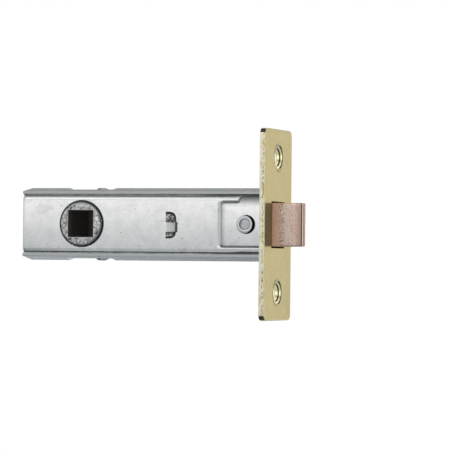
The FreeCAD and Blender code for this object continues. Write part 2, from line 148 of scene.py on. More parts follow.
@dataclass(frozen=True)
class Grain:
    """Fractal noise: cells per millimetre, octaves, weight of the finer ones, and stretch."""

    scale: float
    detail: float = 4.0
    roughness: float = 0.6
    stretch: Triple = (1.0, 1.0, 1.0)


@dataclass(frozen=True)
class Mottle:
    """Irregular marks of one colour, where a noise rises."""

    grain: Grain
    rise: Rise
    colour: Triple


# Finishes


def new_node(tree: bpy.types.NodeTree, kind: str, **settings: object) -> bpy.types.Node:
    """Add a node to a tree.

    Args:
        tree: The tree.
        kind: The node's kind, without the words that all kinds start with.
        settings: Values of the node's own settings.

    Returns:
        The node.
    """
    node = tree.nodes.new("ShaderNode" + kind)
    for name, value in settings.items():
        setattr(node, name, value)
    return node


class Shader:
    """A builder for one node material on object coordinates.

    It keeps the base colour so far, the bump layers as pairs of height and depth, and the mask
    of the places that stay free of the painted gap shade.
    """

    def __init__(self, name: str) -> None:
        """Start a material that has only a principled shader.

        Args:
            name: The material's name.
        """
        self.material = bpy.data.materials.new(name)
        self.material.use_nodes = True
        self.tree = self.material.node_tree
        self.tree.nodes.clear()
        self.surface = self.node("BsdfPrincipled")
        output = self.node("OutputMaterial")
        self.link(self.surface.outputs["BSDF"], output.inputs["Surface"])
        self.coordinates = self.node("TexCoord")
        self.base: Socket | None = None
        self.spared: Socket | None = None
        self.layers: list[tuple[Socket, float]] = []

    def node(self, kind: str, **settings: object) -> bpy.types.Node:
        """Add a node of one kind with the given settings."""
        return new_node(self.tree, kind, **settings)

    def link(self, source: Socket, target: Socket) -> None:
        """Join two sockets."""
        self.tree.links.new(source, target)

    def fix(self, constants: dict[str, object]) -> None:
        """Set inputs of the principled shader, given by name, to constants."""
        for name, value in constants.items():
            self.surface.inputs[name].default_value = value

    def places(
        self, weights: Triple = (1.0, 1.0, 1.0), centre: Triple = (0.0, 0.0, 0.0)
    ) -> Socket:
        """Object coordinates in millimetres from a centre, weighted along each axis.

        Args:
            weights: Factor along X, Y and Z.
            centre: The centre.

        Returns:
            The coordinates.
        """
        mapping = self.node("Mapping")
        mapping.inputs["Scale"].default_value = [weight / MM for weight in weights]
        mapping.inputs["Location"].default_value = [
            -middle * weight for middle, weight in zip(centre, weights)
        ]
        self.link(self.coordinates.outputs["Object"], mapping.inputs["Vector"])
        return mapping.outputs["Vector"]

    def noise(self, grain: Grain) -> Socket:
        """Fractal noise.

        Args:
            grain: Its scale, octaves and stretch.

        Returns:
            The noise value.
        """
        node = self.node("TexNoise")
        for name in ("scale", "detail", "roughness"):
            node.inputs[name.title()].default_value = getattr(grain, name)
        self.link(self.places(grain.stretch), node.inputs["Vector"])
        return node.outputs["Fac"]

    def ramp(self, value: Socket, stops: Stops) -> Socket:
        """Colours over a value.

        Args:
            value: The driving value.
            stops: Pairs of position and colour.

        Returns:
            The colour.
        """
        node = self.node("ValToRGB")
        elements = node.color_ramp.elements
        while len(elements) < len(stops):
            elements.new(0.5)
        for element, (position, colour) in zip(elements, stops):
            element.position = position
            element.color = (*colour, 1.0)
        self.link(value, node.inputs["Fac"])
        return node.outputs["Color"]

    def remap(self, value: Socket, rise: Rise) -> Socket:
        """A value turned into a share.

        Args:
            value: The driving value.
            rise: How the share changes over it.

        Returns:
            The share.
        """
        node = self.node("MapRange", interpolation_type="SMOOTHSTEP")
        numbers = (rise.start, rise.end, rise.low, rise.high)
        for name, number in zip(("From Min", "From Max", "To Min", "To Max"), numbers):
            node.inputs[name].default_value = number
        self.link(value, node.inputs["Value"])
        return node.outputs["Result"]

    def outside(self, mask: Socket, left: float = 0.0) -> Socket:
        """A mask turned round: 1 outside of it, and what is left within it."""
        return self.remap(mask, Rise(0.0, 1.0, 1.0, left))

    def combine(self, operation: str, first: Socket, second: Socket | float = 0.0) -> Socket:
        """One arithmetic step.

        Args:
            operation: Name of the operation.
            first: The first value.
            second: The second value, as a socket or a constant.

        Returns:
            The result.
        """
        node = self.node("Math", operation=operation)
        self.link(first, node.inputs[0])
        if isinstance(second, float):
            node.inputs[1].default_value = second
        else:
            self.link(second, node.inputs[1])
        return node.outputs[0]

    def product(self, first: Socket, *others: Socket | float) -> Socket:
        """A value times all others.

        Args:
            first: The value.
            others: What it is multiplied by, as sockets or constants.

        Returns:
            The product.
        """
        for other in others:
            first = self.combine("MULTIPLY", first, other)
        return first

    def part(self, vector: Socket, axis: str) -> Socket:
        """One part of a vector.

        Args:
            vector: The vector.
            axis: X, Y or Z.

        Returns:
            The part.
        """
        node = self.node("SeparateXYZ")
        self.link(vector, node.inputs[0])
        return node.outputs[axis]

    def along(self, axis: str) -> Socket:
        """The place along one axis (X, Y or Z) in millimetres."""
        return self.part(self.places(), axis)

    def facing(self, axis: str) -> Socket:
        """How far the surface faces along one axis (X, Y or Z), from -1 to 1."""
        return self.part(self.coordinates.outputs["Normal"], axis)

    def apart(self, centre: Triple, weights: Triple = (1.0, 0.0, 1.0)) -> Socket:
        """Distance from a point in millimetres.

        Args:
            centre: The point.
            weights: Weight of each axis: 1 counts it in full and 0 leaves it out.

        Returns:
            The distance.
        """
        length = self.node("VectorMath", operation="LENGTH")
        self.link(self.places(weights, centre), length.inputs[0])
        return length.outputs["Value"]

    def squarish(self, centre: Pair) -> Socket:
        """Distance from a point in the XZ plane whose rings are rounded squares.

        The fourth root of the sum of both offsets' fourth powers.

        Args:
            centre: The point's X and Z.

        Returns:
            The distance in millimetres.
        """
        powers = []
        for axis, middle in zip("XZ", centre):
            offset = self.combine("SUBTRACT", self.along(axis), middle)
            powers.append(self.combine("POWER", self.combine("ABSOLUTE", offset), 4.0))
        return self.combine("POWER", self.combine("ADD", *powers), 0.25)

    def near(self, value: Socket, band: Band) -> Socket:
        """Mask of the places where a value lies in a band."""
        apart = self.combine("ABSOLUTE", self.combine("SUBTRACT", value, band.centre))
        return self.remap(apart, Rise(band.reach, band.reach + band.soft, 1.0, 0.0))

    def within(self, zone: Zone) -> Socket:
        """Mask of a box with soft borders."""
        bands = zip("XYZ", (zone.x, zone.y, zone.z))
        return self.product(*(self.near(self.along(axis), band) for axis, band in bands if band))

    def about(self, spot: Spot) -> Socket:
        """Mask of a disc or ring."""
        return self.near(self.apart(spot.centre, spot.weights), spot.band)

    def openness(self, distance: float) -> Socket:
        """How open the surface is, from 0 in a closed gap to 1 on a free face.

        Args:
            distance: How far the gaps are felt, in millimetres.

        Returns:
            The openness.
        """
        node = self.node("AmbientOcclusion", samples=8)
        node.inputs["Distance"].default_value = distance * MM
        return node.outputs["AO"]

    def paint(self, mask: Socket, colour: Socket | Triple) -> None:
        """Lay a colour over the base colour.

        Args:
            mask: Where the colour lies.
            colour: The colour, as a socket or a constant.
        """
        node = self.node("Mix", data_type="RGBA")
        self.link(mask, node.inputs["Factor"])
        self.link(self.base, node.inputs[MIX_FIRST])
        if isinstance(colour, tuple):
            node.inputs[MIX_SECOND].default_value = (*colour, 1.0)
        else:
            self.link(colour, node.inputs[MIX_SECOND])
        self.base = node.outputs[MIX_RESULT]

    def mottle(self, marks: Mottle, mask: Socket | None = None) -> Socket:
        """Lay irregular marks over the base colour.

        Args:
            marks: The marks.
            mask: Where they lie, if not everywhere.

        Returns:
            The mask of the marks.
        """
        spots = self.remap(self.noise(marks.grain), marks.rise)
        if mask is not None:
            spots = self.product(spots, mask)
        self.paint(spots, marks.colour)
        return spots

    def matt(self, mask: Socket, left: float) -> None:
        """Take the metal's share down within a mask to what is left."""
        self.link(self.outside(mask, left), self.surface.inputs["Metallic"])

    def relief(self, height: Socket, depth: float) -> None:
        """Add a bump layer whose depth is in millimetres."""
        self.layers.append((height, depth))

    def bump(self) -> None:
        """Stack the bump layers on the surface."""
        normal = None
        for height, depth in self.layers:
            node = self.node("Bump")
            node.inputs["Strength"].default_value = 1.0
            node.inputs["Distance"].default_value = depth * MM
            self.link(height, node.inputs["Height"])
            if normal is not None:
                self.link(normal, node.inputs["Normal"])
            normal = node.outputs["Normal"]
        if normal is not None:
            self.link(normal, self.surface.inputs["Normal"])


@dataclass(frozen=True)
class Metal:
    """A metal finish with cloudy colour, fine grain, small pits and painted shade in its gaps.

    Scales are in cells per millimetre.
    """

    name: str
    colour: Triple
    shade: Triple
    roughness: Pair
    metallic: float = 1.0
    cloud_scale: float = 0.35
    grain_scale: float = 3.0
    grain_stretch: Triple = (0.12, 1.0, 1.0)
    grain_depth: float = 0.002
    wave_depth: float = 0.01
    pits: Grain = Grain(1.6, 2.0, 0.5)
    pit_colour: Triple = (0.20, 0.20, 0.20)
    pit_share: Pair = (0.71, 0.77)
    # Painted shade in gaps: its colour, its reach in millimetres and the occlusion over which it
    # comes in.
    gap_shade_colour: Triple = (0.035, 0.035, 0.035)
    gap_shade_reach: float = 1.2
    gap_shade_share: Pair = (0.25, 0.75)

    def mark(self, shader: Shader) -> None:
        """Lay on the marks of this finish alone; a plain finish has none."""

    def material(self) -> bpy.types.Material:
        """Build the material.

        Returns:
            The finished material.
        """
        shader = Shader(self.name)
        shader.fix({"Metallic": self.metallic})
        cloud = shader.noise(Grain(self.cloud_scale))
        grain = shader.noise(Grain(self.grain_scale, stretch=self.grain_stretch))
        shader.base = shader.ramp(cloud, tuple(zip(CLOUD_STOPS, (self.shade, self.colour))))
        pits = shader.remap(shader.noise(self.pits), Rise(*self.pit_share))
        shader.paint(pits, self.pit_colour)
        shader.relief(shader.combine("SUBTRACT", cloud, pits), self.wave_depth)
        shader.relief(grain, self.grain_depth)
        self.mark(shader)
        # Painted shade: the base colour darkens in gaps and hollows by ambient occlusion.
        openness = shader.openness(self.gap_shade_reach)
        closed = shader.remap(openness, Rise(*self.gap_shade_share, 1.0, 0.0))
        if shader.spared is not None:
            kept = shader.combine("SUBTRACT", shader.spared, 1.0)
            closed = shader.product(closed, shader.combine("ABSOLUTE", kept))
        shader.paint(closed, self.gap_shade_colour)
        shader.link(shader.base, shader.surface.inputs["Base Color"])
        rough = shader.remap(grain, Rise(*NOISE_SPAN, *self.roughness))
        shader.link(rough, shader.surface.inputs["Roughness"])
        shader.bump()
        return shader.material


@dataclass(frozen=True)
class CrownedSteel(Metal):
    """Plated sheet, crowned a little from one long edge to the other, with handling marks."""

    crown: float = 0.13
    half_height: float = 8.65
    scuffs: Mottle = Mottle(
        Grain(0.9, 3.0, 0.7, (0.10, 1.0, 1.6)), Rise(0.66, 0.70), (0.60, 0.61, 0.62)
    )
    scuff_depth: float = -0.004
    smudges: Mottle = Mottle(
        Grain(0.22, 5.0, 0.65, (0.5, 1.0, 1.0)), Rise(0.56, 0.72, 0.0, 0.5), (0.50, 0.51, 0.51)
    )
    smears: Mottle = Mottle(
        Grain(0.5, 5.0, 0.75, (0.6, 1.0, 1.2)), Rise(0.655, 0.70, 0.0, 0.55), (0.32, 0.33, 0.33)
    )

    def mark(self, shader: Shader) -> None:
        """Crown the sheet, whose height falls with the square of the place along Z.

        Args:
            shader: The shader in work.
        """
        place = shader.combine("DIVIDE", shader.along("Z"), self.half_height)
        shader.relief(shader.product(place, place, -1.0), self.crown * self.half_height / 2)
        shader.relief(shader.mottle(self.scuffs), self.scuff_depth)
        shader.mottle(self.smudges)
        shader.mottle(self.smears)


@dataclass(frozen=True)
class CaseSteel(CrownedSteel):
    """The case's sheet, with painted shade on its lips and upper rolled edge and a tab painted
    bright.

    The painted light and shade of the lips and their bends are given for the lower and the
    upper lip.
    """

    # Painted shade on the upper rolled edge, which tones down its highlight.
    roll: Zone = Zone(z=Band(8.2, 0.75, 0.5))
    roll_shade_colour: Triple = (0.56, 0.57, 0.565)
    # Painted shade on the rounded rear end.
    rear_end: Zone = Zone(x=Band(-19.5, 0.35, 0.5))
    rear_share: float = 0.6
    rear_shade_colour: Triple = (0.36, 0.37, 0.37)
    side_change: Rise = Rise(-1.0, 1.0)
    side_stops: Pair = (0.4, 0.6)
    flat: Zone = Zone(z=Band(0.0, 8.9, 0.05))
    # Painted shade on the lips, and on the bends a painted highlight below and painted shade
    # above.
    lips: tuple[Triple, Triple] = ((0.54, 0.56, 0.57), (0.31, 0.32, 0.325))
    bend: Rise = Rise(9.75, 10.1)
    bends: tuple[Triple, Triple] = ((0.85, 0.87, 0.88), (0.54, 0.555, 0.56))
    # Painted shadow of the gap round the hub.
    hub_ring: Spot = Spot((0.0, 0.0, 0.0), Band(6.75, 0.18, 0.15))
    ring_shade_colour: Triple = (0.04, 0.04, 0.04)
    # Painted highlights at the recess's corner and on a small dent above the tab.
    corner_glint: Spot = Spot((44.05, 0.0, -6.75), Band(0.0, 0.25, 0.45))
    dent_glint: Spot = Spot((28.9, 0.0, 2.6), Band(0.0, 0.2, 0.7), (1.0, 0.0, 0.5))
    glint_colour: Triple = (0.97, 0.97, 0.97)
    # Painted highlight on the steep walls of the recess's rear and its shoulder.
    recess_rear: Zone = Zone(x=Band(44.6, 0.75, 0.15), z=Band(0.0, 6.6, 0.2))
    shoulder: Spot = Spot((51.0, 0.0, 7.3), Band(0.0, 1.1, 0.3))
    steepness: Rise = Rise(0.05, 0.3)
    # Painted shade along the recess's lower edge, which takes out a highlight there.
    under: Zone = Zone(z=Band(-6.85, 0.35, 0.15))
    under_run: Rise = Rise(44.9, 45.6, 0.0, 0.85)
    under_shade_colour: Triple = (0.46, 0.47, 0.47)
    # The tab is painted brighter than the sheet against the shadow in its window, kept free of the
    # painted gap shade and made matt.
    tab: Zone = Zone(x=Band(28.45, 1.2, 0.1), z=Band(-0.9, 1.5, 0.1))
    tab_light_colour: Triple = (1.0, 0.98, 0.94)
    matt_share: float = 0.08
    sink: Rise = Rise(43.3, 44.9, 0.0, -1.0)
    sink_height: Zone = Zone(z=Band(0.0, 6.2, 0.7))
    sink_depth: float = 0.33

    def sides(self, shader: Shader, colours: tuple[Triple, Triple]) -> Socket:
        """One painted tone of light and shade for the lower lip and one for the upper lip."""
        level = shader.remap(shader.along("Z"), self.side_change)
        return shader.ramp(level, tuple(zip(self.side_stops, colours)))

    def mark(self, shader: Shader) -> None:
        """Paint shade and highlights on the lips, edges, hub ring, recess and tab; sink the
        recess.

        Args:
            shader: The shader in work.
        """
        super().mark(shader)
        # Painted shade on the upper rolled edge and the rear end.
        shader.paint(shader.within(self.roll), self.roll_shade_colour)
        end = shader.product(shader.within(self.rear_end), self.rear_share)
        shader.paint(end, self.rear_shade_colour)
        # Painted light and shade on the lips and the bends, the lower and the upper apart.
        shader.paint(shader.outside(shader.within(self.flat)), self.sides(shader, self.lips))
        bend = shader.remap(shader.combine("ABSOLUTE", shader.along("Z")), self.bend)
        shader.paint(bend, self.sides(shader, self.bends))
        # Painted shadow of the gap round the hub.
        shader.paint(shader.about(self.hub_ring), self.ring_shade_colour)
        # Painted highlights at the recess's corner and above the tab.
        glints = (shader.about(self.corner_glint), shader.about(self.dent_glint))
        shader.paint(shader.combine("MAXIMUM", *glints), self.glint_colour)
        # Painted highlight on the steep walls of the recess, which are also made matt.
        walls = (shader.about(self.shoulder), shader.within(self.recess_rear))
        steep = shader.remap(shader.facing("X"), self.steepness)
        steep = shader.product(shader.combine("MAXIMUM", *walls), steep)
        shader.paint(steep, self.glint_colour)
        along = shader.along("X")
        # Painted shade along the recess's lower edge.
        under = shader.product(shader.within(self.under), shader.remap(along, self.under_run))
        shader.paint(under, self.under_shade_colour)
        # The tab is painted bright against its shadow and spared the painted gap shade.
        shader.spared = shader.within(self.tab)
        shader.paint(shader.spared, self.tab_light_colour)
        shader.matt(shader.combine("MAXIMUM", shader.spared, steep), self.matt_share)
        sunk = shader.product(shader.remap(along, self.sink), shader.within(self.sink_height))
        shader.relief(sunk, self.sink_depth)


@dataclass(frozen=True)
class TornSteel(CrownedSteel):
    """Torn sheet with a crack in the shape of a rounded square painted as a dark shadow, bright
    beyond it.
    """

    crack_centre: Pair = (26.5, -0.3)
    crack: Band = Band(3.73, 0.24, 0.16)
    # Painted shadow that draws the crack.
    crack_shade_colour: Triple = (0.04, 0.04, 0.04)
    hollow: Zone = Zone(z=Band(-0.9, 2.1, 0.5))
    shadows: Mottle = Mottle(Grain(1.3, 3.0), Rise(0.38, 0.56, 0.2, 0.9), (0.07, 0.07, 0.07))
    beyond: Rise = Rise(3.85, 4.0)
    beyond_colour: Triple = (0.76, 0.765, 0.76)
    crumple: Grain = Grain(1.6)
    crumple_depth: float = 0.5

    def mark(self, shader: Shader) -> None:
        """Paint mottled shadows beside the tab, brighten the sheet beyond the crack, paint the
        crack's shadow.

        Args:
            shader: The shader in work.
        """
        super().mark(shader)
        shader.mottle(self.shadows, shader.within(self.hollow))
        reach = shader.squarish(self.crack_centre)
        beyond = shader.remap(reach, self.beyond)
        shader.paint(beyond, self.beyond_colour)
        # Painted shadow that draws the crack.
        shader.paint(shader.near(reach, self.crack), self.crack_shade_colour)
        crumple = shader.product(shader.noise(self.crumple), shader.outside(beyond))
        shader.relief(crumple, self.crumple_depth)


@dataclass(frozen=True)
class HemSteel(Metal):
    """Dull hem in the seam, grey to stand in for the seam's shade, with painted shade towards the
    face plate.
    """

    front: Rise = Rise(34.0, 47.0, 0.0, 0.75)
    front_shade_colour: Triple = (0.03, 0.03, 0.03)

    def mark(self, shader: Shader) -> None:
        """Paint shade on the hem's front end."""
        shader.paint(shader.remap(shader.along("X"), self.front), self.front_shade_colour)


@dataclass(frozen=True)
class FilletSteel(Metal):
    """Sheet that rolls down round the recess, painted darker as its shade, most along its lower
    and upper sides.
    """

    # Painted shade in front of the rear side, and a painted highlight on the shoulder and the rear
    # border.
    front: Rise = Rise(44.95, 45.55)
    front_shade_colour: Triple = (0.24, 0.245, 0.245)
    shoulder: Rise = Rise(6.75, 7.1)
    behind: Rise = Rise(44.45, 44.65, 1.0, 0.0)
    highlight_colour: Triple = (0.88, 0.89, 0.88)

    def mark(self, shader: Shader) -> None:
        """Paint shade on all in front of the rear side, and highlights on the shoulder and the
        rear border.

        Args:
            shader: The shader in work.
        """
        along = shader.along("X")
        shader.paint(shader.remap(along, self.front), self.front_shade_colour)
        shoulder = shader.remap(shader.along("Z"), self.shoulder)
        light = shader.combine("MAXIMUM", shoulder, shader.remap(along, self.behind))
        shader.paint(light, self.highlight_colour)


@dataclass(frozen=True)
class BracketSteel(CrownedSteel):
    """The bracket's sheet, rolled back at its edges with painted shade there, and a painted shadow
    by the rivet.
    """

    # Painted shade towards the upper edge, along the recess's top and towards its rear.
    roll: Rise = Rise(4.9, 8.1)
    roll_shade_colour: Triple = (0.12, 0.125, 0.125)
    below: Zone = Zone(z=Band(6.5, 0.2, 0.4))
    below_run: Rise = Rise(49.6, 50.4, 0.7, 0.0)
    below_shade_colour: Triple = (0.16, 0.165, 0.165)
    rear: Rise = Rise(44.8, 46.4, 0.6, 0.0)
    rear_shade_colour: Triple = (0.30, 0.305, 0.305)
    # Painted contact shadow in front of the rivet's head.
    rivet_shadow: Spot = Spot((52.58, 0.0, 0.0), Band(0.0, 2.78, 0.15))
    rivet_shadow_colour: Triple = (0.01, 0.01, 0.01)

    def mark(self, shader: Shader) -> None:
        """Paint shade on the edges that roll back, and a crescent of contact shadow before the
        rivet's head.

        Args:
            shader: The shader in work.
        """
        super().mark(shader)
        along = shader.along("X")
        # Painted shade on the edges, and a painted contact shadow by the rivet.
        shader.paint(shader.remap(shader.along("Z"), self.roll), self.roll_shade_colour)
        below = shader.product(shader.within(self.below), shader.remap(along, self.below_run))
        shader.paint(below, self.below_shade_colour)
        shader.paint(shader.remap(along, self.rear), self.rear_shade_colour)
        shader.paint(shader.about(self.rivet_shadow), self.rivet_shadow_colour)


@dataclass(frozen=True)
class RivetSteel(Metal):
    """A rivet's peened head, with a ring in painted shade and highlight on its face and a shaded
    front rim.
    """

    # A ring groove drawn in painted shade with a painted highlight outside it, and painted shade
    # on the rim's front.
    ring: Spot = Spot((52.3, 0.0, 0.0), Band(1.6, 0.03, 0.26))
    ring_shade_colour: Triple = (0.31, 0.325, 0.33)
    ring_depth: float = -0.05
    light: Spot = Spot((52.3, 0.0, 0.0), Band(1.98, 0.12, 0.2))
    highlight_colour: Triple = (0.60, 0.62, 0.63)
    rim_centre: Triple = (51.98, 0.0, 0.0)
    rim: Rise = Rise(2.62, 2.7)
    rim_colour: Triple = (0.012, 0.012, 0.012)

    def mark(self, shader: Shader) -> None:
        """Draw the ring in painted shade with a painted highlight beside it, and paint shade on
        the rim's front.

        Args:
            shader: The shader in work.
        """
        # Painted shade and highlight on the ring, and painted shade on the rim.
        ring = shader.about(self.ring)
        shader.paint(ring, self.ring_shade_colour)
        shader.paint(shader.about(self.light), self.highlight_colour)
        rim = shader.remap(shader.apart(self.rim_centre), self.rim)
        shader.paint(rim, self.rim_colour)
        shader.relief(ring, self.ring_depth)


@dataclass(frozen=True)
class EdgedBrass(Metal):
    """Plated face plate whose pale cut edge shows a ragged dark line."""

    face: Rise = Rise(0.35, 0.6)
    edge: Rise = Rise(0.35, 0.6, 1.0, 0.0)
    speckle: Grain = Grain(0.9, 3.0, stretch=(0.8, 1.0, 0.5))
    speckle_depth: float = 0.012
    cut_colours: Stops = (
        (0.34, (0.76, 0.62, 0.32)),
        (0.46, (0.95, 0.84, 0.53)),
        (0.62, (0.98, 0.92, 0.69)),
    )
    # Painted shade on the cut edge's corners.
    corner: Band = Band(27.7, 0.5, 0.25)
    between_corners: Zone = Zone(y=Band(0.0, 10.9, 0.4))
    corner_shade_colour: Triple = (0.03, 0.022, 0.012)
    wander: Grain = Grain(0.8, 2.0, 0.55)
    wander_reach: Pair = (-0.16, 0.16)
    line: Band = Band(59.35, 0.05, 0.10)
    line_breaks: Mottle = Mottle(Grain(1.1, 3.0), Rise(0.44, 0.52, 0.0, 0.85), (0.10, 0.07, 0.03))
    line_depth: float = -0.04
    # Painted reflection of the bolt on the plate beside the gate; it does not move with the bolt.
    bolt_reflection: Zone = Zone(y=Band(-12.5, 6.6, 0.2), z=Band(0.0, 6.2, 0.5))
    bolt_reflection_share: float = 0.6
    bolt_reflection_colour: Triple = (0.10, 0.20, 0.17)
    # Painted highlight along the border of the plate's face.
    inner: Zone = Zone(y=Band(0.0, 12.08, 0.2), z=Band(0.0, 28.08, 0.2))
    rim: Rise = Rise(0.0, 1.0, 0.45, 0.0)
    rim_colour: Triple = (0.92, 0.86, 0.62)
    hole_height: float = 20.2
    # The countersinks painted pale as their highlight, with rings of painted shade on their far
    # side.
    hole_highlight: Band = Band(0.0, 3.75, 0.1)
    hole_highlight_colour: Triple = (1.0, 0.92, 0.55)
    hole_highlight_share: float = 0.6
    hole_rings: tuple[tuple[float, Band], ...] = (
        (0.35, Band(3.45, 0.14, 0.10)),
        (0.30, Band(2.75, 0.12, 0.10)),
    )
    ring_side: Rise = Rise(0.2, 1.6)
    ring_shade_colour: Triple = (0.03, 0.022, 0.008)
    matt_share: float = 0.3
    dimple: Rise = Rise(3.7, 4.7)
    dimple_depth: float = 0.12

    def hole(self, shader: Shader, shift: float) -> Socket:
        """Distance from the nearer screw hole's axis.

        Args:
            shader: The shader in work.
            shift: How far both axes are moved along Y.

        Returns:
            The distance in millimetres.
        """
        levels = (self.hole_height, -self.hole_height)
        holes = (shader.apart((0.0, shift, level), (0.0, 1.0, 1.0)) for level in levels)
        return shader.combine("MINIMUM", *holes)

    def mark_edge(self, shader: Shader, edge: Socket) -> None:
        """Pale the cut edge, paint shade on its corners and draw the broken line along it.

        Args:
            shader: The shader in work.
            edge: Mask of the cut edge.
        """
        speckle = shader.noise(self.speckle)
        shader.paint(edge, shader.ramp(speckle, self.cut_colours))
        # Painted shade on the corners.
        corner = shader.near(shader.combine("ABSOLUTE", shader.along("Z")), self.corner)
        sides = shader.outside(shader.within(self.between_corners))
        shader.paint(shader.product(corner, edge, sides), self.corner_shade_colour)
        wander = shader.remap(shader.noise(self.wander), Rise(*NOISE_SPAN, *self.wander_reach))
        line = shader.near(shader.combine("ADD", shader.along("X"), wander), self.line)
        line = shader.mottle(self.line_breaks, shader.product(line, edge))
        shader.relief(shader.product(speckle, edge), self.speckle_depth)
        shader.relief(line, self.line_depth)

    def mark(self, shader: Shader) -> None:
        """Mark the cut edge, paint the bolt's reflection by the gate, a highlight on the rim, and
        the screw holes.

        Args:
            shader: The shader in work.
        """
        facing = shader.combine("ABSOLUTE", shader.facing("X"))
        edge = shader.remap(facing, self.edge)
        centre = self.hole(shader, 0.0)
        shader.relief(shader.remap(centre, self.dimple), self.dimple_depth)
        self.mark_edge(shader, edge)
        # Painted reflection of the bolt beside the gate.
        front = shader.remap(shader.facing("X"), self.face)
        bolt_reflection = shader.product(shader.within(self.bolt_reflection), self.bolt_reflection_share, front)
        shader.paint(bolt_reflection, self.bolt_reflection_colour)
        # Painted highlight on the rim.
        rim = shader.remap(shader.within(self.inner), self.rim)
        shader.paint(shader.product(rim, shader.remap(facing, self.face)), self.rim_colour)
        # Countersinks painted pale as their highlight, then rings of painted shade.
        hole_highlight = shader.near(centre, self.hole_highlight)
        shader.paint(hole_highlight, self.hole_highlight_colour)
        rings = (shader.near(self.hole(shader, shift), band) for shift, band in self.hole_rings)
        side = shader.remap(shader.along("Y"), self.ring_side)
        dark = shader.product(shader.combine("MAXIMUM", *rings), hole_highlight, side)
        shader.paint(dark, self.ring_shade_colour)
        dull = shader.combine("MAXIMUM", shader.product(hole_highlight, self.hole_highlight_share), edge)
        shader.matt(dull, self.matt_share)


@dataclass(frozen=True)
class RubbedBolt(Metal):
    """Plated bolt, drawn along its height and rubbed coppery where it leaves the gate."""

    wander: Grain = Grain(1.2, 3.0, 0.55)
    wander_reach: Pair = (-0.35, 0.35)
    rub: Band = Band(60.4, 0.9, 2.0)
    rub_colour: Triple = (1.0, 0.57, 0.37)
    grit: Mottle = Mottle(
        Grain(5.0, 3.0, 0.7, (1.0, 1.0, 0.6)), Rise(0.50, 0.62, 0.0, 0.45), (0.52, 0.22, 0.12)
    )
    border: Band = Band(62.9, 0.3, 0.7)
    flecks: Mottle = Mottle(
        Grain(3.6, 3.0, 0.7, (1.0, 1.0, 0.8)), Rise(0.53, 0.58), (0.10, 0.05, 0.035)
    )
    fleck_depth: float = -0.03
    lines: Grain = Grain(3.2, 3.0, stretch=(1.0, 1.0, 0.05))
    line_rise: Rise = Rise(0.35, 0.65, 0.0, 0.55)
    line_colour: Triple = (0.36, 0.29, 0.25)
    line_left: float = 0.35
    line_depth: float = 0.012
    specks: Mottle = Mottle(
        Grain(4.2, 2.0, 0.5, (1.0, 1.0, 0.5)), Rise(0.53, 0.62, 0.0, 0.7), (0.86, 0.72, 0.62)
    )
    speck_left: float = 0.1
    # Darker towards the tip.
    tip_darkening: Rise = Rise(66.8, 69.0, 0.0, 0.85)
    tip_darkening_colour: Triple = (0.42, 0.26, 0.21)
    # Painted shade in the groove where the tip starts to round, and a painted highlight on the
    # tip's edge.
    groove: Band = Band(69.22, 0.07, 0.12)
    groove_shade_colour: Triple = (0.10, 0.045, 0.038)
    groove_depth: float = -0.03
    bright: Band = Band(69.54, 0.08, 0.08)
    tip_highlight_colour: Triple = (1.0, 0.86, 0.72)

    def mark(self, shader: Shader) -> None:
        """Rub the root, speckle its border, shade and highlight the tip and draw fine lines up the
        sides.

        Args:
            shader: The shader in work.
        """
        wander = shader.remap(shader.noise(self.wander), Rise(*NOISE_SPAN, *self.wander_reach))
        along = shader.along("X")
        place = shader.combine("ADD", along, wander)
        rub = shader.near(place, self.rub)
        shader.paint(rub, self.rub_colour)
        shader.mottle(self.grit, rub)
        flecks = shader.mottle(self.flecks, shader.near(place, self.border))
        lines = shader.noise(self.lines)
        tint = shader.remap(lines, self.line_rise)
        shader.paint(shader.product(tint, shader.outside(rub, self.line_left)), self.line_colour)
        shader.mottle(self.specks, shader.outside(rub, self.speck_left))
        # Darker towards the tip.
        shader.paint(shader.remap(along, self.tip_darkening), self.tip_darkening_colour)
        # Painted shade in the groove and a painted highlight on the tip's edge.
        groove = shader.near(along, self.groove)
        shader.paint(groove, self.groove_shade_colour)
        bright = shader.near(along, self.bright)
        shader.paint(bright, self.tip_highlight_colour)
        shader.matt(shader.combine("MAXIMUM", rub, bright), 0.0)
        shader.relief(lines, self.line_depth)
        shader.relief(flecks, self.fleck_depth)
        shader.relief(groove, self.groove_depth)


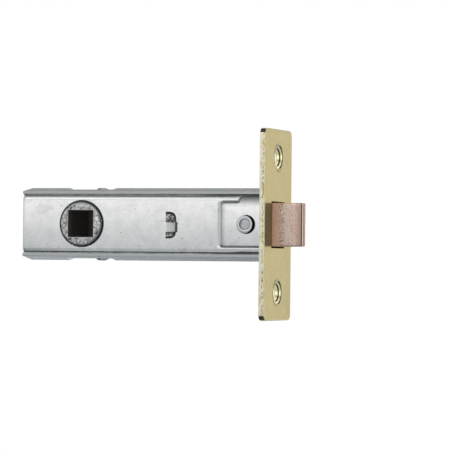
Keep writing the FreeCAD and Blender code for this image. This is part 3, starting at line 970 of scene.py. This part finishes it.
@dataclass(frozen=True)
class CastMetal(Metal):
    """Grey casting with a grainy skin, cold-shut marks and a socket darkened by the painted gap
    shade.
    """

    fold_scale: float = 0.75
    fold_stretch: Triple = (1.0, 0.3, 1.0)
    fold: Rise = Rise(0.0, 0.13, 1.0, 0.0)
    folds: Mottle = Mottle(Grain(0.5, 2.0, 0.55), Rise(0.42, 0.52), (0.06, 0.06, 0.06))
    fold_depth: float = -0.06
    # A plain warm grey on the socket's walls; the near-black painted gap shade darkens the socket.
    socket: Zone = Zone(Band(0.0, 4.28, 0.05), Band(0.0, 9.0, 0.15), Band(0.0, 4.28, 0.05))
    socket_colour: Triple = (0.46, 0.43, 0.40)
    rim: Rise = Rise(6.22, 6.4)
    between_faces: Zone = Zone(y=Band(0.0, 7.0, 0.2))
    rim_colour: Triple = (0.30, 0.305, 0.31)
    rim_left: float = 0.3

    def mark(self, shader: Shader) -> None:
        """Fold the skin, paint the socket's walls a plain warm grey and dull the rim of both
        faces.

        Args:
            shader: The shader in work.
        """
        folds = shader.node("TexVoronoi", feature="DISTANCE_TO_EDGE")
        folds.inputs["Scale"].default_value = self.fold_scale
        shader.link(shader.places(self.fold_stretch), folds.inputs["Vector"])
        crease = shader.remap(folds.outputs["Distance"], self.fold)
        shader.relief(shader.mottle(self.folds, crease), self.fold_depth)
        # Plain warm grey on the socket's walls, under the painted gap shade.
        shader.paint(shader.within(self.socket), self.socket_colour)
        rim = shader.remap(shader.apart((0.0, 0.0, 0.0)), self.rim)
        rim = shader.product(rim, shader.outside(shader.within(self.between_faces)))
        shader.paint(rim, self.rim_colour)
        shader.matt(rim, self.rim_left)


PLATED_STEEL = CaseSteel(
    "plated_steel",
    (0.80, 0.80, 0.79),
    (0.71, 0.715, 0.71),
    (0.24, 0.34),
    gap_shade_colour=(0.24, 0.25, 0.25),
    gap_shade_reach=0.6,
)
INNER_STEEL = Metal(
    "inner_steel", (0.10, 0.10, 0.10), (0.05, 0.05, 0.05), (0.35, 0.5), grain_depth=0.01
)
# The torn sheet's cloud runs down to near black: painted shade in the crumpled sheet.
TORN_STEEL = TornSteel(
    "torn_steel",
    (0.80, 0.80, 0.79),
    (0.03, 0.03, 0.03),
    (0.25, 0.45),
    cloud_scale=1.9,
    gap_shade_colour=(0.24, 0.25, 0.25),
    gap_shade_share=(0.0, 0.3),
)
# Dull grey hem sheet whose tone stands in for the seam's shade.
SEAM_STEEL = HemSteel(
    "seam_steel", (0.34, 0.35, 0.35), (0.22, 0.225, 0.225), (0.4, 0.6), gap_shade_share=(0.0, 0.1)
)
# The fillet is the case's plated sheet painted darker, as the shade of the rolled edge.
FILLET_STEEL = FilletSteel(
    "fillet_steel",
    (0.47, 0.48, 0.48),
    (0.39, 0.40, 0.40),
    (0.3, 0.4),
    metallic=0.25,
    gap_shade_share=(0.0, 0.1),
)
BRACKET_STEEL = BracketSteel(
    "bracket_steel", (0.82, 0.82, 0.815), (0.73, 0.735, 0.73), (0.24, 0.36), crown=0.19
)
# Its near-black painted gap shade draws a contact shadow round the rivet's head.
RIVET_STEEL = RivetSteel(
    "rivet_steel",
    (0.50, 0.53, 0.54),
    (0.36, 0.38, 0.40),
    (0.28, 0.40),
    cloud_scale=0.9,
    grain_depth=0.02,
    gap_shade_colour=(0.01, 0.01, 0.01),
    gap_shade_share=(0.4, 0.85),
)
PALE_BRASS = EdgedBrass(
    "pale_brass",
    (0.55, 0.45, 0.18),
    (0.50, 0.41, 0.155),
    (0.20, 0.30),
    cloud_scale=0.15,
    grain_stretch=(1.0, 1.0, 0.15),
    pit_colour=(0.40, 0.32, 0.14),
    gap_shade_colour=(0.03, 0.02, 0.006),
    gap_shade_reach=0.8,
)
WARM_BOLT = RubbedBolt(
    "warm_bolt",
    (0.69, 0.515, 0.41),
    (0.57, 0.41, 0.335),
    (0.26, 0.38),
    cloud_scale=0.5,
    grain_scale=4.0,
    grain_stretch=(1.0, 1.0, 0.3),
    grain_depth=0.010,
    pits=Grain(2.4, 2.0, 0.5),
    pit_colour=(0.18, 0.10, 0.07),
    gap_shade_colour=(0.03, 0.015, 0.008),
    gap_shade_reach=0.8,
)
# Its near-black painted gap shade darkens the socket.
CAST_ZINC = CastMetal(
    "cast_zinc",
    (0.64, 0.65, 0.65),
    (0.28, 0.28, 0.29),
    (0.30, 0.50),
    cloud_scale=1.4,
    grain_stretch=(1.0, 1.0, 1.0),
    grain_depth=0.05,
    wave_depth=0.06,
    pits=Grain(1.8, 2.0, 0.5),
    pit_share=(0.60, 0.70),
    gap_shade_colour=(0.004, 0.004, 0.004),
    gap_shade_reach=0.7,
)
SPRING_WIRE = Metal("spring_wire", (0.36, 0.36, 0.37), (0.26, 0.26, 0.27), (0.28, 0.40))


# Surfaces


def placed(name: str, data: bpy.types.ID) -> bpy.types.Object:
    """Put a new object into the scene.

    Args:
        name: Its name.
        data: Its mesh, camera or lamp.

    Returns:
        The object.
    """
    piece = bpy.data.objects.new(name, data)
    bpy.context.scene.collection.objects.link(piece)
    return piece


def dress(piece: bpy.types.Object, material: bpy.types.Material) -> None:
    """Give all faces of an object one material."""
    piece.data.materials.clear()
    piece.data.materials.append(material)


@dataclass(frozen=True)
class Rounding:
    """Widths of a solid's rounded edges.

    Edges whose ends both lie within the box from low to high take the wide rounding. The box is
    given for X, the amount of Y, and Z.
    """

    width: float
    wide: float = 0.0
    low: Triple = (0.0, 0.0, 0.0)
    high: Triple = (0.0, 0.0, 0.0)
    segments: int = 3

    @property
    def largest(self) -> float:
        """The larger of the two widths."""
        return max(self.width, self.wide)

    def weight(self, edge: bmesh.types.BMEdge) -> float:
        """Share of the largest width that one edge takes.

        Args:
            edge: The edge.

        Returns:
            The share.
        """
        ends = np.array([vertex.co for vertex in edge.verts]) / MM
        ends[:, 1] = np.abs(ends[:, 1])
        inside = bool(np.all(ends >= self.low) and np.all(ends <= self.high))
        return (self.wide if inside else self.width) / self.largest


def softened(node: bpy.types.Object, name: str, rounding: Rounding) -> bpy.types.Object:
    """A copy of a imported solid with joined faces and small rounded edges.

    Args:
        node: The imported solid.
        name: Name of the copy.
        rounding: Widths of the rounded edges.

    Returns:
        The copy, not yet riding on a body.
    """
    work = bmesh.new()
    work.from_mesh(node.data)
    bmesh.ops.remove_doubles(work, verts=work.verts, dist=MERGE_REACH)
    bmesh.ops.dissolve_limit(work, angle_limit=FLAT_ANGLE, verts=work.verts, edges=work.edges)
    weights = work.edges.layers.float.new("bevel_weight_edge")
    for edge in work.edges:
        edge.smooth = edge.calc_face_angle(0.0) < SMOOTH_ANGLE
        edge[weights] = rounding.weight(edge) if rounding.largest and not edge.smooth else 0.0
    for face in work.faces:
        face.smooth = True
    mesh = bpy.data.meshes.new(name)
    work.to_mesh(mesh)
    work.free()
    piece = placed(name, mesh)
    if rounding.largest:
        bevel = piece.modifiers.new("Edges", "BEVEL")
        bevel.width = rounding.largest * MM
        bevel.segments = rounding.segments
        bevel.limit_method = "WEIGHT"
        bevel.use_clamp_overlap = False
        bevel.harden_normals = True
    return piece


def parameters(steps: tuple[int, int], end: float = 1.0) -> tuple[np.ndarray, ...]:
    """Two parameters that run from 0 to their end over a grid."""
    lines = [np.linspace(0.0, end, count) for count in steps]
    return tuple(np.meshgrid(*lines, indexing="ij"))


def grid_piece(name: str, places: tuple[np.ndarray, ...], outward: Triple) -> bpy.types.Object:
    """A surface over a grid of places, turned outwards, with its poles joined.

    Args:
        name: Name of the piece.
        places: X, Y and Z in millimetres, each over the whole grid.
        outward: Direction that the surface faces.

    Returns:
        The piece, with its place in its mesh.
    """
    steps = places[0].shape
    points = np.stack(places, axis=-1).reshape(-1, 3) * MM
    index = np.arange(len(points)).reshape(steps)
    faces = np.stack([index[:-1, :-1], index[1:, :-1], index[1:, 1:], index[:-1, 1:]], axis=-1)
    faces = faces.reshape(-1, 4)
    square = points[faces]
    normals = np.cross(square[:, 2] - square[:, 0], square[:, 3] - square[:, 1])
    if normals.sum(axis=0) @ np.array(outward) < 0.0:
        faces = faces[:, ::-1]
    mesh = bpy.data.meshes.new(name)
    mesh.from_pydata(points.tolist(), [], faces.tolist())
    work = bmesh.new()
    work.from_mesh(mesh)
    bmesh.ops.remove_doubles(work, verts=work.verts, dist=POLE_REACH)
    work.to_mesh(mesh)
    work.free()
    mesh.shade_smooth()
    return placed(name, mesh)


@dataclass
class Assembly:
    """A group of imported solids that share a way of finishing."""

    frame: dict
    made: list[bpy.types.Object] = field(default_factory=list)

    def add(
        self, piece: bpy.types.Object, body: Body, material: bpy.types.Material, slot: str
    ) -> None:
        """Dress a new piece and let it ride on a body.

        Args:
            piece: The piece.
            body: The body that it rides on.
            material: Its material.
            slot: A material slot name from the record; not used.
        """
        dress(piece, material)
        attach(piece, body.value)
        self.made.append(piece)

    def soften(
        self, node: str, body: Body, material: bpy.types.Material, rounding: Rounding
    ) -> bpy.types.Object:
        """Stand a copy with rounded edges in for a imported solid.

        Args:
            node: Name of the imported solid.
            body: The body that it rides on.
            material: Its material.
            rounding: Widths of its rounded edges.

        Returns:
            The copy.
        """
        piece = softened(self.frame["nodes"][node], node + "_finish", rounding)
        dress(piece, material)
        dress(self.frame["nodes"][node], material)
        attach(piece, body.value)
        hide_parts(node)
        self.made.append(piece)
        return piece


@dataclass(frozen=True)
class TornWeb:
    """Torn sheet between one edge of the tab's window and the pushed-in tab.

    The sheet runs from just outside the window's edge to the tab's edge as a ruled surface. It
    sags inwards by a sine between the two, and ridges of summed sines crumple it. Beyond a
    crack in the shape of a rounded square it stays flush with the case. Each wave has its turns
    along and down the sheet, its start and its weight.
    """

    name: str
    side: int
    window_edge: float
    tab_edge: float
    start: float = 27.1
    end: float = 31.05
    tab_end: float = 29.7
    foot: float = 0.2
    face: float = 7.812
    push: float = 1.5
    sag: float = 0.45
    ridge: float = 0.16
    waves: tuple[tuple[float, ...], ...] = ((14.0, 6.0, 0.0, 1.0), (23.0, -11.0, 1.0, 0.6))
    crack_centre: Pair = (26.5, -0.3)
    crack_radius: float = 3.95
    crack_width: float = 0.25
    border: float = 0.3
    steps: tuple[int, int] = (64, 48)

    def build(self) -> bpy.types.Object:
        """Make the crumpled sheet.

        Returns:
            The piece, with its place in its mesh.
        """
        along, down = parameters(self.steps)
        x = self.start + (self.end - self.start) * along
        z = self.window_edge + (self.tab_edge - self.window_edge) * down
        offsets = np.stack([x - self.crack_centre[0], z - self.crack_centre[1]])
        reach = (offsets**4).sum(axis=0) ** 0.25
        torn = np.clip((self.crack_radius - reach) / self.crack_width, 0.0, 1.0)
        slope = np.clip((x - self.start - self.foot) / (self.tab_end - self.start), 0.0, 1.0)
        arch = np.sin(math.pi * down)
        crumple = sum(
            weight * np.sin(turns * along + falls * down + begin)
            for turns, falls, begin, weight in self.waves
        )
        inwards = self.push * slope * down + self.sag * arch * slope**0.5
        inwards = inwards + self.ridge * crumple * arch * slope
        flush = np.clip(np.abs(z - self.window_edge) / self.border, 0.0, 1.0)
        y = self.side * (self.face - np.abs(inwards) * torn * flush)
        return grid_piece(self.name, (x, y, z), (0.0, self.side, 0.0))


@dataclass(frozen=True)
class SeamStrip:
    """Dull hem deep in the seam between the cover and one lip, grey to stand in for the seam's
    shade.

    A trough over the case's length and the seam's width: it follows the cover's tapering edge,
    and its depth is a half sine across the seam, with a slow sine along it.
    """

    name: str
    side: int
    rear: float = -19.2
    front: float = 57.9
    taper: Pair = (44.4, 50.7)
    edges: Pair = (8.5, 8.05)
    outer: float = 8.93
    level: float = 7.32
    depth: float = 0.1
    swell: float = 0.03
    swell_turns: float = 0.9
    steps: tuple[int, int] = (240, 8)

    def build(self) -> bpy.types.Object:
        """Make the trough.

        Returns:
            The piece, with its place in its mesh.
        """
        along, across = parameters(self.steps)
        x = self.rear + (self.front - self.rear) * along
        inner = np.interp(x, self.taper, self.edges)
        z = self.side * (inner + (self.outer - inner) * across)
        y = self.depth * np.sin(math.pi * across) + self.swell * np.sin(self.swell_turns * x)
        return grid_piece(self.name, (x, y - self.level, z), (0.0, -1.0, 0.0))


@dataclass(frozen=True)
class RecessFillet:
    """Rolled sheet between the recess's edge and the bracket's tongue.

    A shallow valley along the recess's outline: a path of straight sides with rounded corners,
    swept by a section whose depth is a half sine from the case's edge to the tongue's edge.
    """

    name: str
    side: int
    front: float = 56.9
    rear: float = 44.62
    lower: float = -6.62
    upper: float = 6.62
    shoulder: tuple[Pair, ...] = ((50.2, 6.62), (51.5, 7.9))
    corner: float = 1.2
    corner_gap: float = 0.4
    half_width: float = 0.3
    level: float = 7.62
    depth: float = 0.22
    across: int = 9
    run_steps: int = 30
    turn_steps: int = 9

    def path(self) -> np.ndarray:
        """The valley's middle line, from the lower front end round the rear to the shoulder.

        Returns:
            X and Z of its points.
        """
        turns = np.linspace(0.0, math.pi / 2, self.turn_steps)
        sweep, rise = self.corner * np.sin(turns), self.corner * np.cos(turns)
        x = self.rear + self.corner
        low, high = self.lower + self.corner, self.upper - self.corner
        run = np.linspace(self.front, x + self.corner_gap, self.run_steps)
        parts = [
            np.stack([run, np.full(self.run_steps, self.lower)], 1),
            np.stack([x - sweep, low - rise], 1),
            np.stack([x - rise, high + sweep], 1),
            np.array(self.shoulder),
        ]
        return np.concatenate(parts)

    def build(self) -> bpy.types.Object:
        """Make the valley.

        Returns:
            The piece, with its place in its mesh.
        """
        path = self.path()
        run = np.gradient(path, axis=0)
        run /= np.linalg.norm(run, axis=1, keepdims=True)
        share = np.linspace(-1.0, 1.0, self.across)
        offset = share[None, :, None] * self.half_width
        flat = path[:, None, :] + offset * np.stack([run[:, 1], -run[:, 0]], 1)[:, None, :]
        fall = self.depth * np.cos(share * math.pi / 2)
        y = np.broadcast_to(self.side * (self.level - fall), flat.shape[:2])
        return grid_piece(self.name, (flat[..., 0], y, flat[..., 1]), (0.0, self.side, 0.0))


@dataclass(frozen=True)
class CornerFold:
    """Folded corner of the cover: an eighth of an ellipsoid at its rear end."""

    name: str
    side: int
    centre: Triple = (-18.45, -6.75, 7.85)
    reach: Triple = (1.02, 1.02, 0.85)
    steps: tuple[int, int] = (16, 16)

    def build(self) -> bpy.types.Object:
        """Make the corner.

        Returns:
            The piece, with its place in its mesh.
        """
        turn, lift = parameters(self.steps, math.pi / 2)
        x = self.centre[0] - self.reach[0] * np.cos(turn) * np.cos(lift)
        y = self.centre[1] - self.reach[1] * np.sin(turn) * np.cos(lift)
        z = self.side * (self.centre[2] + self.reach[2] * np.sin(lift))
        return grid_piece(self.name, (x, y, z), (-1.0, -1.0, self.side))


@dataclass
class CaseGroup(Assembly):
    """The formed case, its cover, the torn tabs and the plate that the spring stands on."""

    body_edges: Rounding = Rounding(0.12, 0.5, (43.0, 7.7, -7.3), (57.1, 7.9, 8.1))
    cover_edges: Rounding = Rounding(0.2, 0.5, (43.0, 7.7, -7.3), (57.1, 7.9, 8.1))
    slot: str = "zinc_plated_steel"
    window: Pair = (-4.3, 3.7)
    tab: Pair = (-2.4, 0.6)

    def build(self) -> None:
        """Finish the case."""
        steel = PLATED_STEEL.material()
        self.soften("case_body", Body.CASE, steel, self.body_edges)
        self.soften("case_cover", Body.CASE, steel, self.cover_edges)
        inner = INNER_STEEL.material()
        dress(self.frame["nodes"]["spring_seat"], inner)
        dress(self.frame["nodes"]["stirrup"], inner)
        hem = SEAM_STEEL.material()
        for part, side in (("lower", -1), ("upper", 1)):
            self.add(SeamStrip(f"seam_{part}", side).build(), Body.CASE, hem, self.slot)
            self.add(CornerFold(f"corner_{part}", side).build(), Body.CASE, steel, self.slot)
        fillet = FILLET_STEEL.material()
        for face, side in (("front", -1), ("rear", 1)):
            self.add(RecessFillet(f"recess_{face}", side).build(), Body.CASE, fillet, self.slot)
        torn = TORN_STEEL.material()
        for face, side in (("front", -1), ("rear", 1)):
            for part, window_edge, tab_edge in zip(("lower", "upper"), self.window, self.tab):
                web = TornWeb(f"torn_{part}_{face}", side, window_edge, tab_edge).build()
                self.add(web, Body.CASE, torn, self.slot)


@dataclass
class FaceplateGroup(Assembly):
    """The face plate, its bracket and the two rivets."""

    plate_edges: Rounding = Rounding(0.15)
    bracket_edges: Rounding = Rounding(0.12, 0.3, (44.0, 7.7, -7.0), (57.9, 7.9, 8.6))
    rivet_edges: Rounding = Rounding(0.12)

    def build(self) -> None:
        """Finish the face plate group."""
        self.soften("forend", Body.CASE, PALE_BRASS.material(), self.plate_edges)
        self.soften("forend_bracket", Body.CASE, BRACKET_STEEL.material(), self.bracket_edges)
        rivet = RIVET_STEEL.material()
        for name in ("rivet_front", "rivet_rear"):
            self.soften(name, Body.CASE, rivet, self.rivet_edges)


@dataclass
class BoltGroup(Assembly):
    """The bolt head, its stem, the clip and the spring."""

    head_edges: Rounding = Rounding(0.12)
    travel: float = 10.0

    def build(self) -> None:
        """Finish the bolt."""
        self.soften("latch_bolt", Body.BOLT, WARM_BOLT.material(), self.head_edges)
        wire = SPRING_WIRE.material()
        for name in ("bolt_stem", "stem_clip"):
            dress(self.frame["nodes"][name], wire)
        self.spring(wire)

    def spring(self, wire: bpy.types.Material) -> None:
        """Stand a copy of the spring, with a mesh of its own, in for the imported one.

        Args:
            wire: The spring's material.
        """
        coil = self.soften("bolt_spring", Body.CASE, wire, Rounding(0.0))
        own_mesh(coil)


@dataclass
class FollowerGroup(Assembly):
    """The cast follower and its return spring."""

    cast_edges: Rounding = Rounding(0.14)

    def build(self) -> None:
        """Finish the follower."""
        self.soften("follower", Body.FOLLOWER, CAST_ZINC.material(), self.cast_edges)
        dress(self.frame["nodes"]["follower_spring"], SPRING_WIRE.material())


# Camera and studio


@dataclass(frozen=True)
class Viewpoint:
    """Where the photograph was taken from, in degrees and millimetres."""

    azimuth: float = 19.38
    elevation: float = -0.94
    roll: float = 0.60
    distance: float = 934.0
    target: Triple = (43.2, 0.0, -0.07)
    focal_pixels: float = 3114.0
    frame_pixels: float = 450.0
    sensor: float = 36.0
    nearest: float = 10.0
    farthest: float = 20000.0

    def build(self) -> None:
        """Make the camera the scene's camera."""
        turn, lift, lean = map(math.radians, (self.azimuth, self.elevation, self.roll))
        back = Vector(
            (math.sin(turn) * math.cos(lift), -math.cos(turn) * math.cos(lift), math.sin(lift))
        )
        right = Vector((math.cos(turn), math.sin(turn), 0.0))
        up = back.cross(right)
        rolled_right = right * math.cos(lean) + up * math.sin(lean)
        rolled_up = up * math.cos(lean) - right * math.sin(lean)
        data = bpy.data.cameras.new("photo_camera")
        data.sensor_width = self.sensor
        data.lens = self.focal_pixels / self.frame_pixels * self.sensor
        data.clip_start = self.nearest * MM
        data.clip_end = self.farthest * MM
        camera = placed("photo_camera", data)
        turned = Matrix((rolled_right, rolled_up, back)).transposed()
        place = (Vector(self.target) + back * self.distance) * MM
        camera.matrix_world = Matrix.Translation(place) @ turned.to_4x4()
        bpy.context.scene.camera = camera


@dataclass(frozen=True)
class Card:
    """A rectangular lamp or card that faces the latch; its strength is in watts or radiance."""

    name: str
    place: Triple
    size: Pair
    strength: float

    def pose(self, target: bpy.types.Object) -> None:
        """Move an object to the card's place and aim it at the latch.

        Args:
            target: The object.
        """
        target.location = self.place
        target.rotation_mode = "QUATERNION"
        target.rotation_quaternion = (-Vector(self.place)).to_track_quat("-Z", "Y")


@dataclass
class Studio:
    """Pale floor, white surround, soft lamps and grey cards that only metal reflects.

    Sizes and places are in metres, apart from the socket flag's.
    """

    surround_colour: Triple = (0.9, 0.95, 1.0)
    surround_strength: float = 0.55
    floor_level: float = -0.10
    floor_size: float = 0.96
    floor_colour: Triple = (0.86, 0.86, 0.86)
    floor_roughness: float = 0.9
    # The socket flag: a dark sheet that stands in for the socket's shade, with a faint painted
    # glow.
    flag_radius: float = 6.1
    flag_level: float = 8.3
    flag_steps: int = 48
    flag_colour: Triple = (0.05, 0.046, 0.042)
    flag_glow: Triple = (1.0, 0.92, 0.85)
    flag_strength: float = 0.012
    card_glow: Triple = (0.95, 0.98, 1.0)
    hidden_ways: tuple[str, ...] = (
        "camera", "diffuse", "shadow", "transmission", "volume_scatter"
    )
    lamps: tuple[Card, ...] = (
        Card("key_lamp", (-0.35, -0.85, 0.65), (0.7, 0.5), 1.2),
        Card("side_lamp", (0.75, -0.75, 0.55), (0.4, 0.4), 0.6),
        Card("back_lamp", (0.2, 0.9, 0.9), (0.8, 0.4), 1.2),
    )
    cards: tuple[Card, ...] = (
        Card("right_card", (0.95, -0.30, 0.0), (1.5, 1.2), 0.02),
        Card("glint_card", (0.45, -0.155, 0.0), (0.12, 0.30), 2.4),
        Card("camera_card", (0.37, -1.04, 0.0), (0.42, 0.8), 0.26),
        Card("back_card", (-0.22, 0.70, 0.30), (1.4, 0.40), 0.34),
        Card("roof_card", (-0.1, 0.12, 0.9), (0.7, 0.5), 0.16),
        Card("low_card", (-0.13, -0.36, -0.062), (1.2, 0.125), 0.73),
        Card("foot_card", (-0.05, 0.02, -0.099), (0.5, 0.10), 0.05),
        Card("rear_foot_card", (-0.15, 0.33, -0.099), (0.7, 0.30), 0.34),
    )

    def build(self) -> None:
        """Make everything round the latch."""
        self.surround()
        self.floor()
        self.socket_flag()
        for lamp in self.lamps:
            self.lamp(lamp)
        for card in self.cards:
            self.card(card)

    def surround(self) -> None:
        """White for camera, glossy and transmission rays, and a plain grey light for the rest."""
        world = bpy.data.worlds.new("surround")
        bpy.context.scene.world = world
        world.use_nodes = True
        tree = world.node_tree
        tree.nodes.clear()
        path = new_node(tree, "LightPath")
        seen = path.outputs["Is Camera Ray"]
        for name in ("Is Glossy Ray", "Is Transmission Ray"):
            either = new_node(tree, "Math", operation="MAXIMUM")
            tree.links.new(seen, either.inputs[0])
            tree.links.new(path.outputs[name], either.inputs[1])
            seen = either.outputs[0]
        white = new_node(tree, "Background")
        white.inputs["Color"].default_value = (1.0, 1.0, 1.0, 1.0)
        grey = new_node(tree, "Background")
        grey.inputs["Color"].default_value = (*self.surround_colour, 1.0)
        grey.inputs["Strength"].default_value = self.surround_strength
        mix = new_node(tree, "MixShader")
        tree.links.new(seen, mix.inputs["Fac"])
        tree.links.new(grey.outputs[0], mix.inputs[1])
        tree.links.new(white.outputs[0], mix.inputs[2])
        output = new_node(tree, "OutputWorld")
        tree.links.new(mix.outputs[0], output.inputs["Surface"])

    def sheet(
        self, name: str, rim: list[Triple], constants: dict[str, object]
    ) -> tuple[bpy.types.Object, Shader]:
        """A flat sheet with a plain material.

        Args:
            name: Its name.
            rim: The points of its rim, in metres.
            constants: Inputs of its material's shader.

        Returns:
            The sheet and its shader.
        """
        mesh = bpy.data.meshes.new(name)
        mesh.from_pydata(rim, [], [tuple(range(len(rim)))])
        piece = placed(name, mesh)
        shader = Shader(name)
        shader.fix(constants)
        dress(piece, shader.material)
        return piece, shader

    def floor(self) -> None:
        """A pale matt floor below the latch."""
        half, level = self.floor_size / 2, self.floor_level
        rim = [(-half, -half, level), (half, -half, level), (half, half, level)]
        constants = {
            "Base Color": (*self.floor_colour, 1.0),
            "Roughness": self.floor_roughness,
            "Specular IOR Level": 0.0,
        }
        floor, _ = self.sheet("floor", [*rim, (-half, half, level)], constants)

    def socket_flag(self) -> None:
        """A dark flag for the socket's shade, with a faint painted glow, clear from behind so no
        backdrop shows.
        """
        turns = np.linspace(0.0, 2.0 * math.pi, self.flag_steps, endpoint=False)
        radius, level = self.flag_radius * MM, self.flag_level * MM
        rim = [(math.cos(turn) * radius, level, math.sin(turn) * radius) for turn in turns]
        constants = {
            "Base Color": (*self.flag_colour, 1.0),
            "Specular IOR Level": 0.0,
            "Emission Color": (*self.flag_glow, 1.0),
            "Emission Strength": self.flag_strength,
        }
        flag, shader = self.sheet("socket_flag", rim, constants)
        behind = shader.node("NewGeometry").outputs["Backfacing"]
        shader.link(shader.outside(behind), shader.surface.inputs["Alpha"])

    def lamp(self, card: Card) -> None:
        """One soft lamp that points at the latch.

        Args:
            card: Its place, size and power in watts.
        """
        data = bpy.data.lights.new(card.name, "AREA")
        data.shape = "RECTANGLE"
        data.size, data.size_y = card.size
        data.energy = card.strength
        card.pose(placed(card.name, data))

    def card(self, card: Card) -> None:
        """One plain card that only reflections show.

        Args:
            card: Its place, size and radiance.
        """
        wide, high = card.size[0] / 2, card.size[1] / 2
        rim = [(-wide, -high, 0.0), (wide, -high, 0.0), (wide, high, 0.0), (-wide, high, 0.0)]
        constants = {
            "Base Color": (0.0, 0.0, 0.0, 1.0),
            "Emission Color": (*self.card_glow, 1.0),
            "Emission Strength": card.strength,
        }
        piece, _ = self.sheet(card.name, rim, constants)
        card.pose(piece)
        for way in self.hidden_ways:
            setattr(piece, "visible_" + way, False)


def main() -> None:
    """Dress the latch, place the camera and light it."""
    logging.basicConfig(level=logging.INFO, format="%(name)s: %(message)s")
    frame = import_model()
    groups = (CaseGroup(frame), FaceplateGroup(frame), BoltGroup(frame), FollowerGroup(frame))
    for group in groups:
        group.build()
        for piece in group.made:
            LOG.info("%s: %d faces", piece.name, len(piece.data.polygons))
    Viewpoint().build()
    Studio().build()
    bpy.context.scene.view_settings.view_transform = "Standard"
    bpy.context.view_layer.update()


if __name__ == "__main__":
    main()
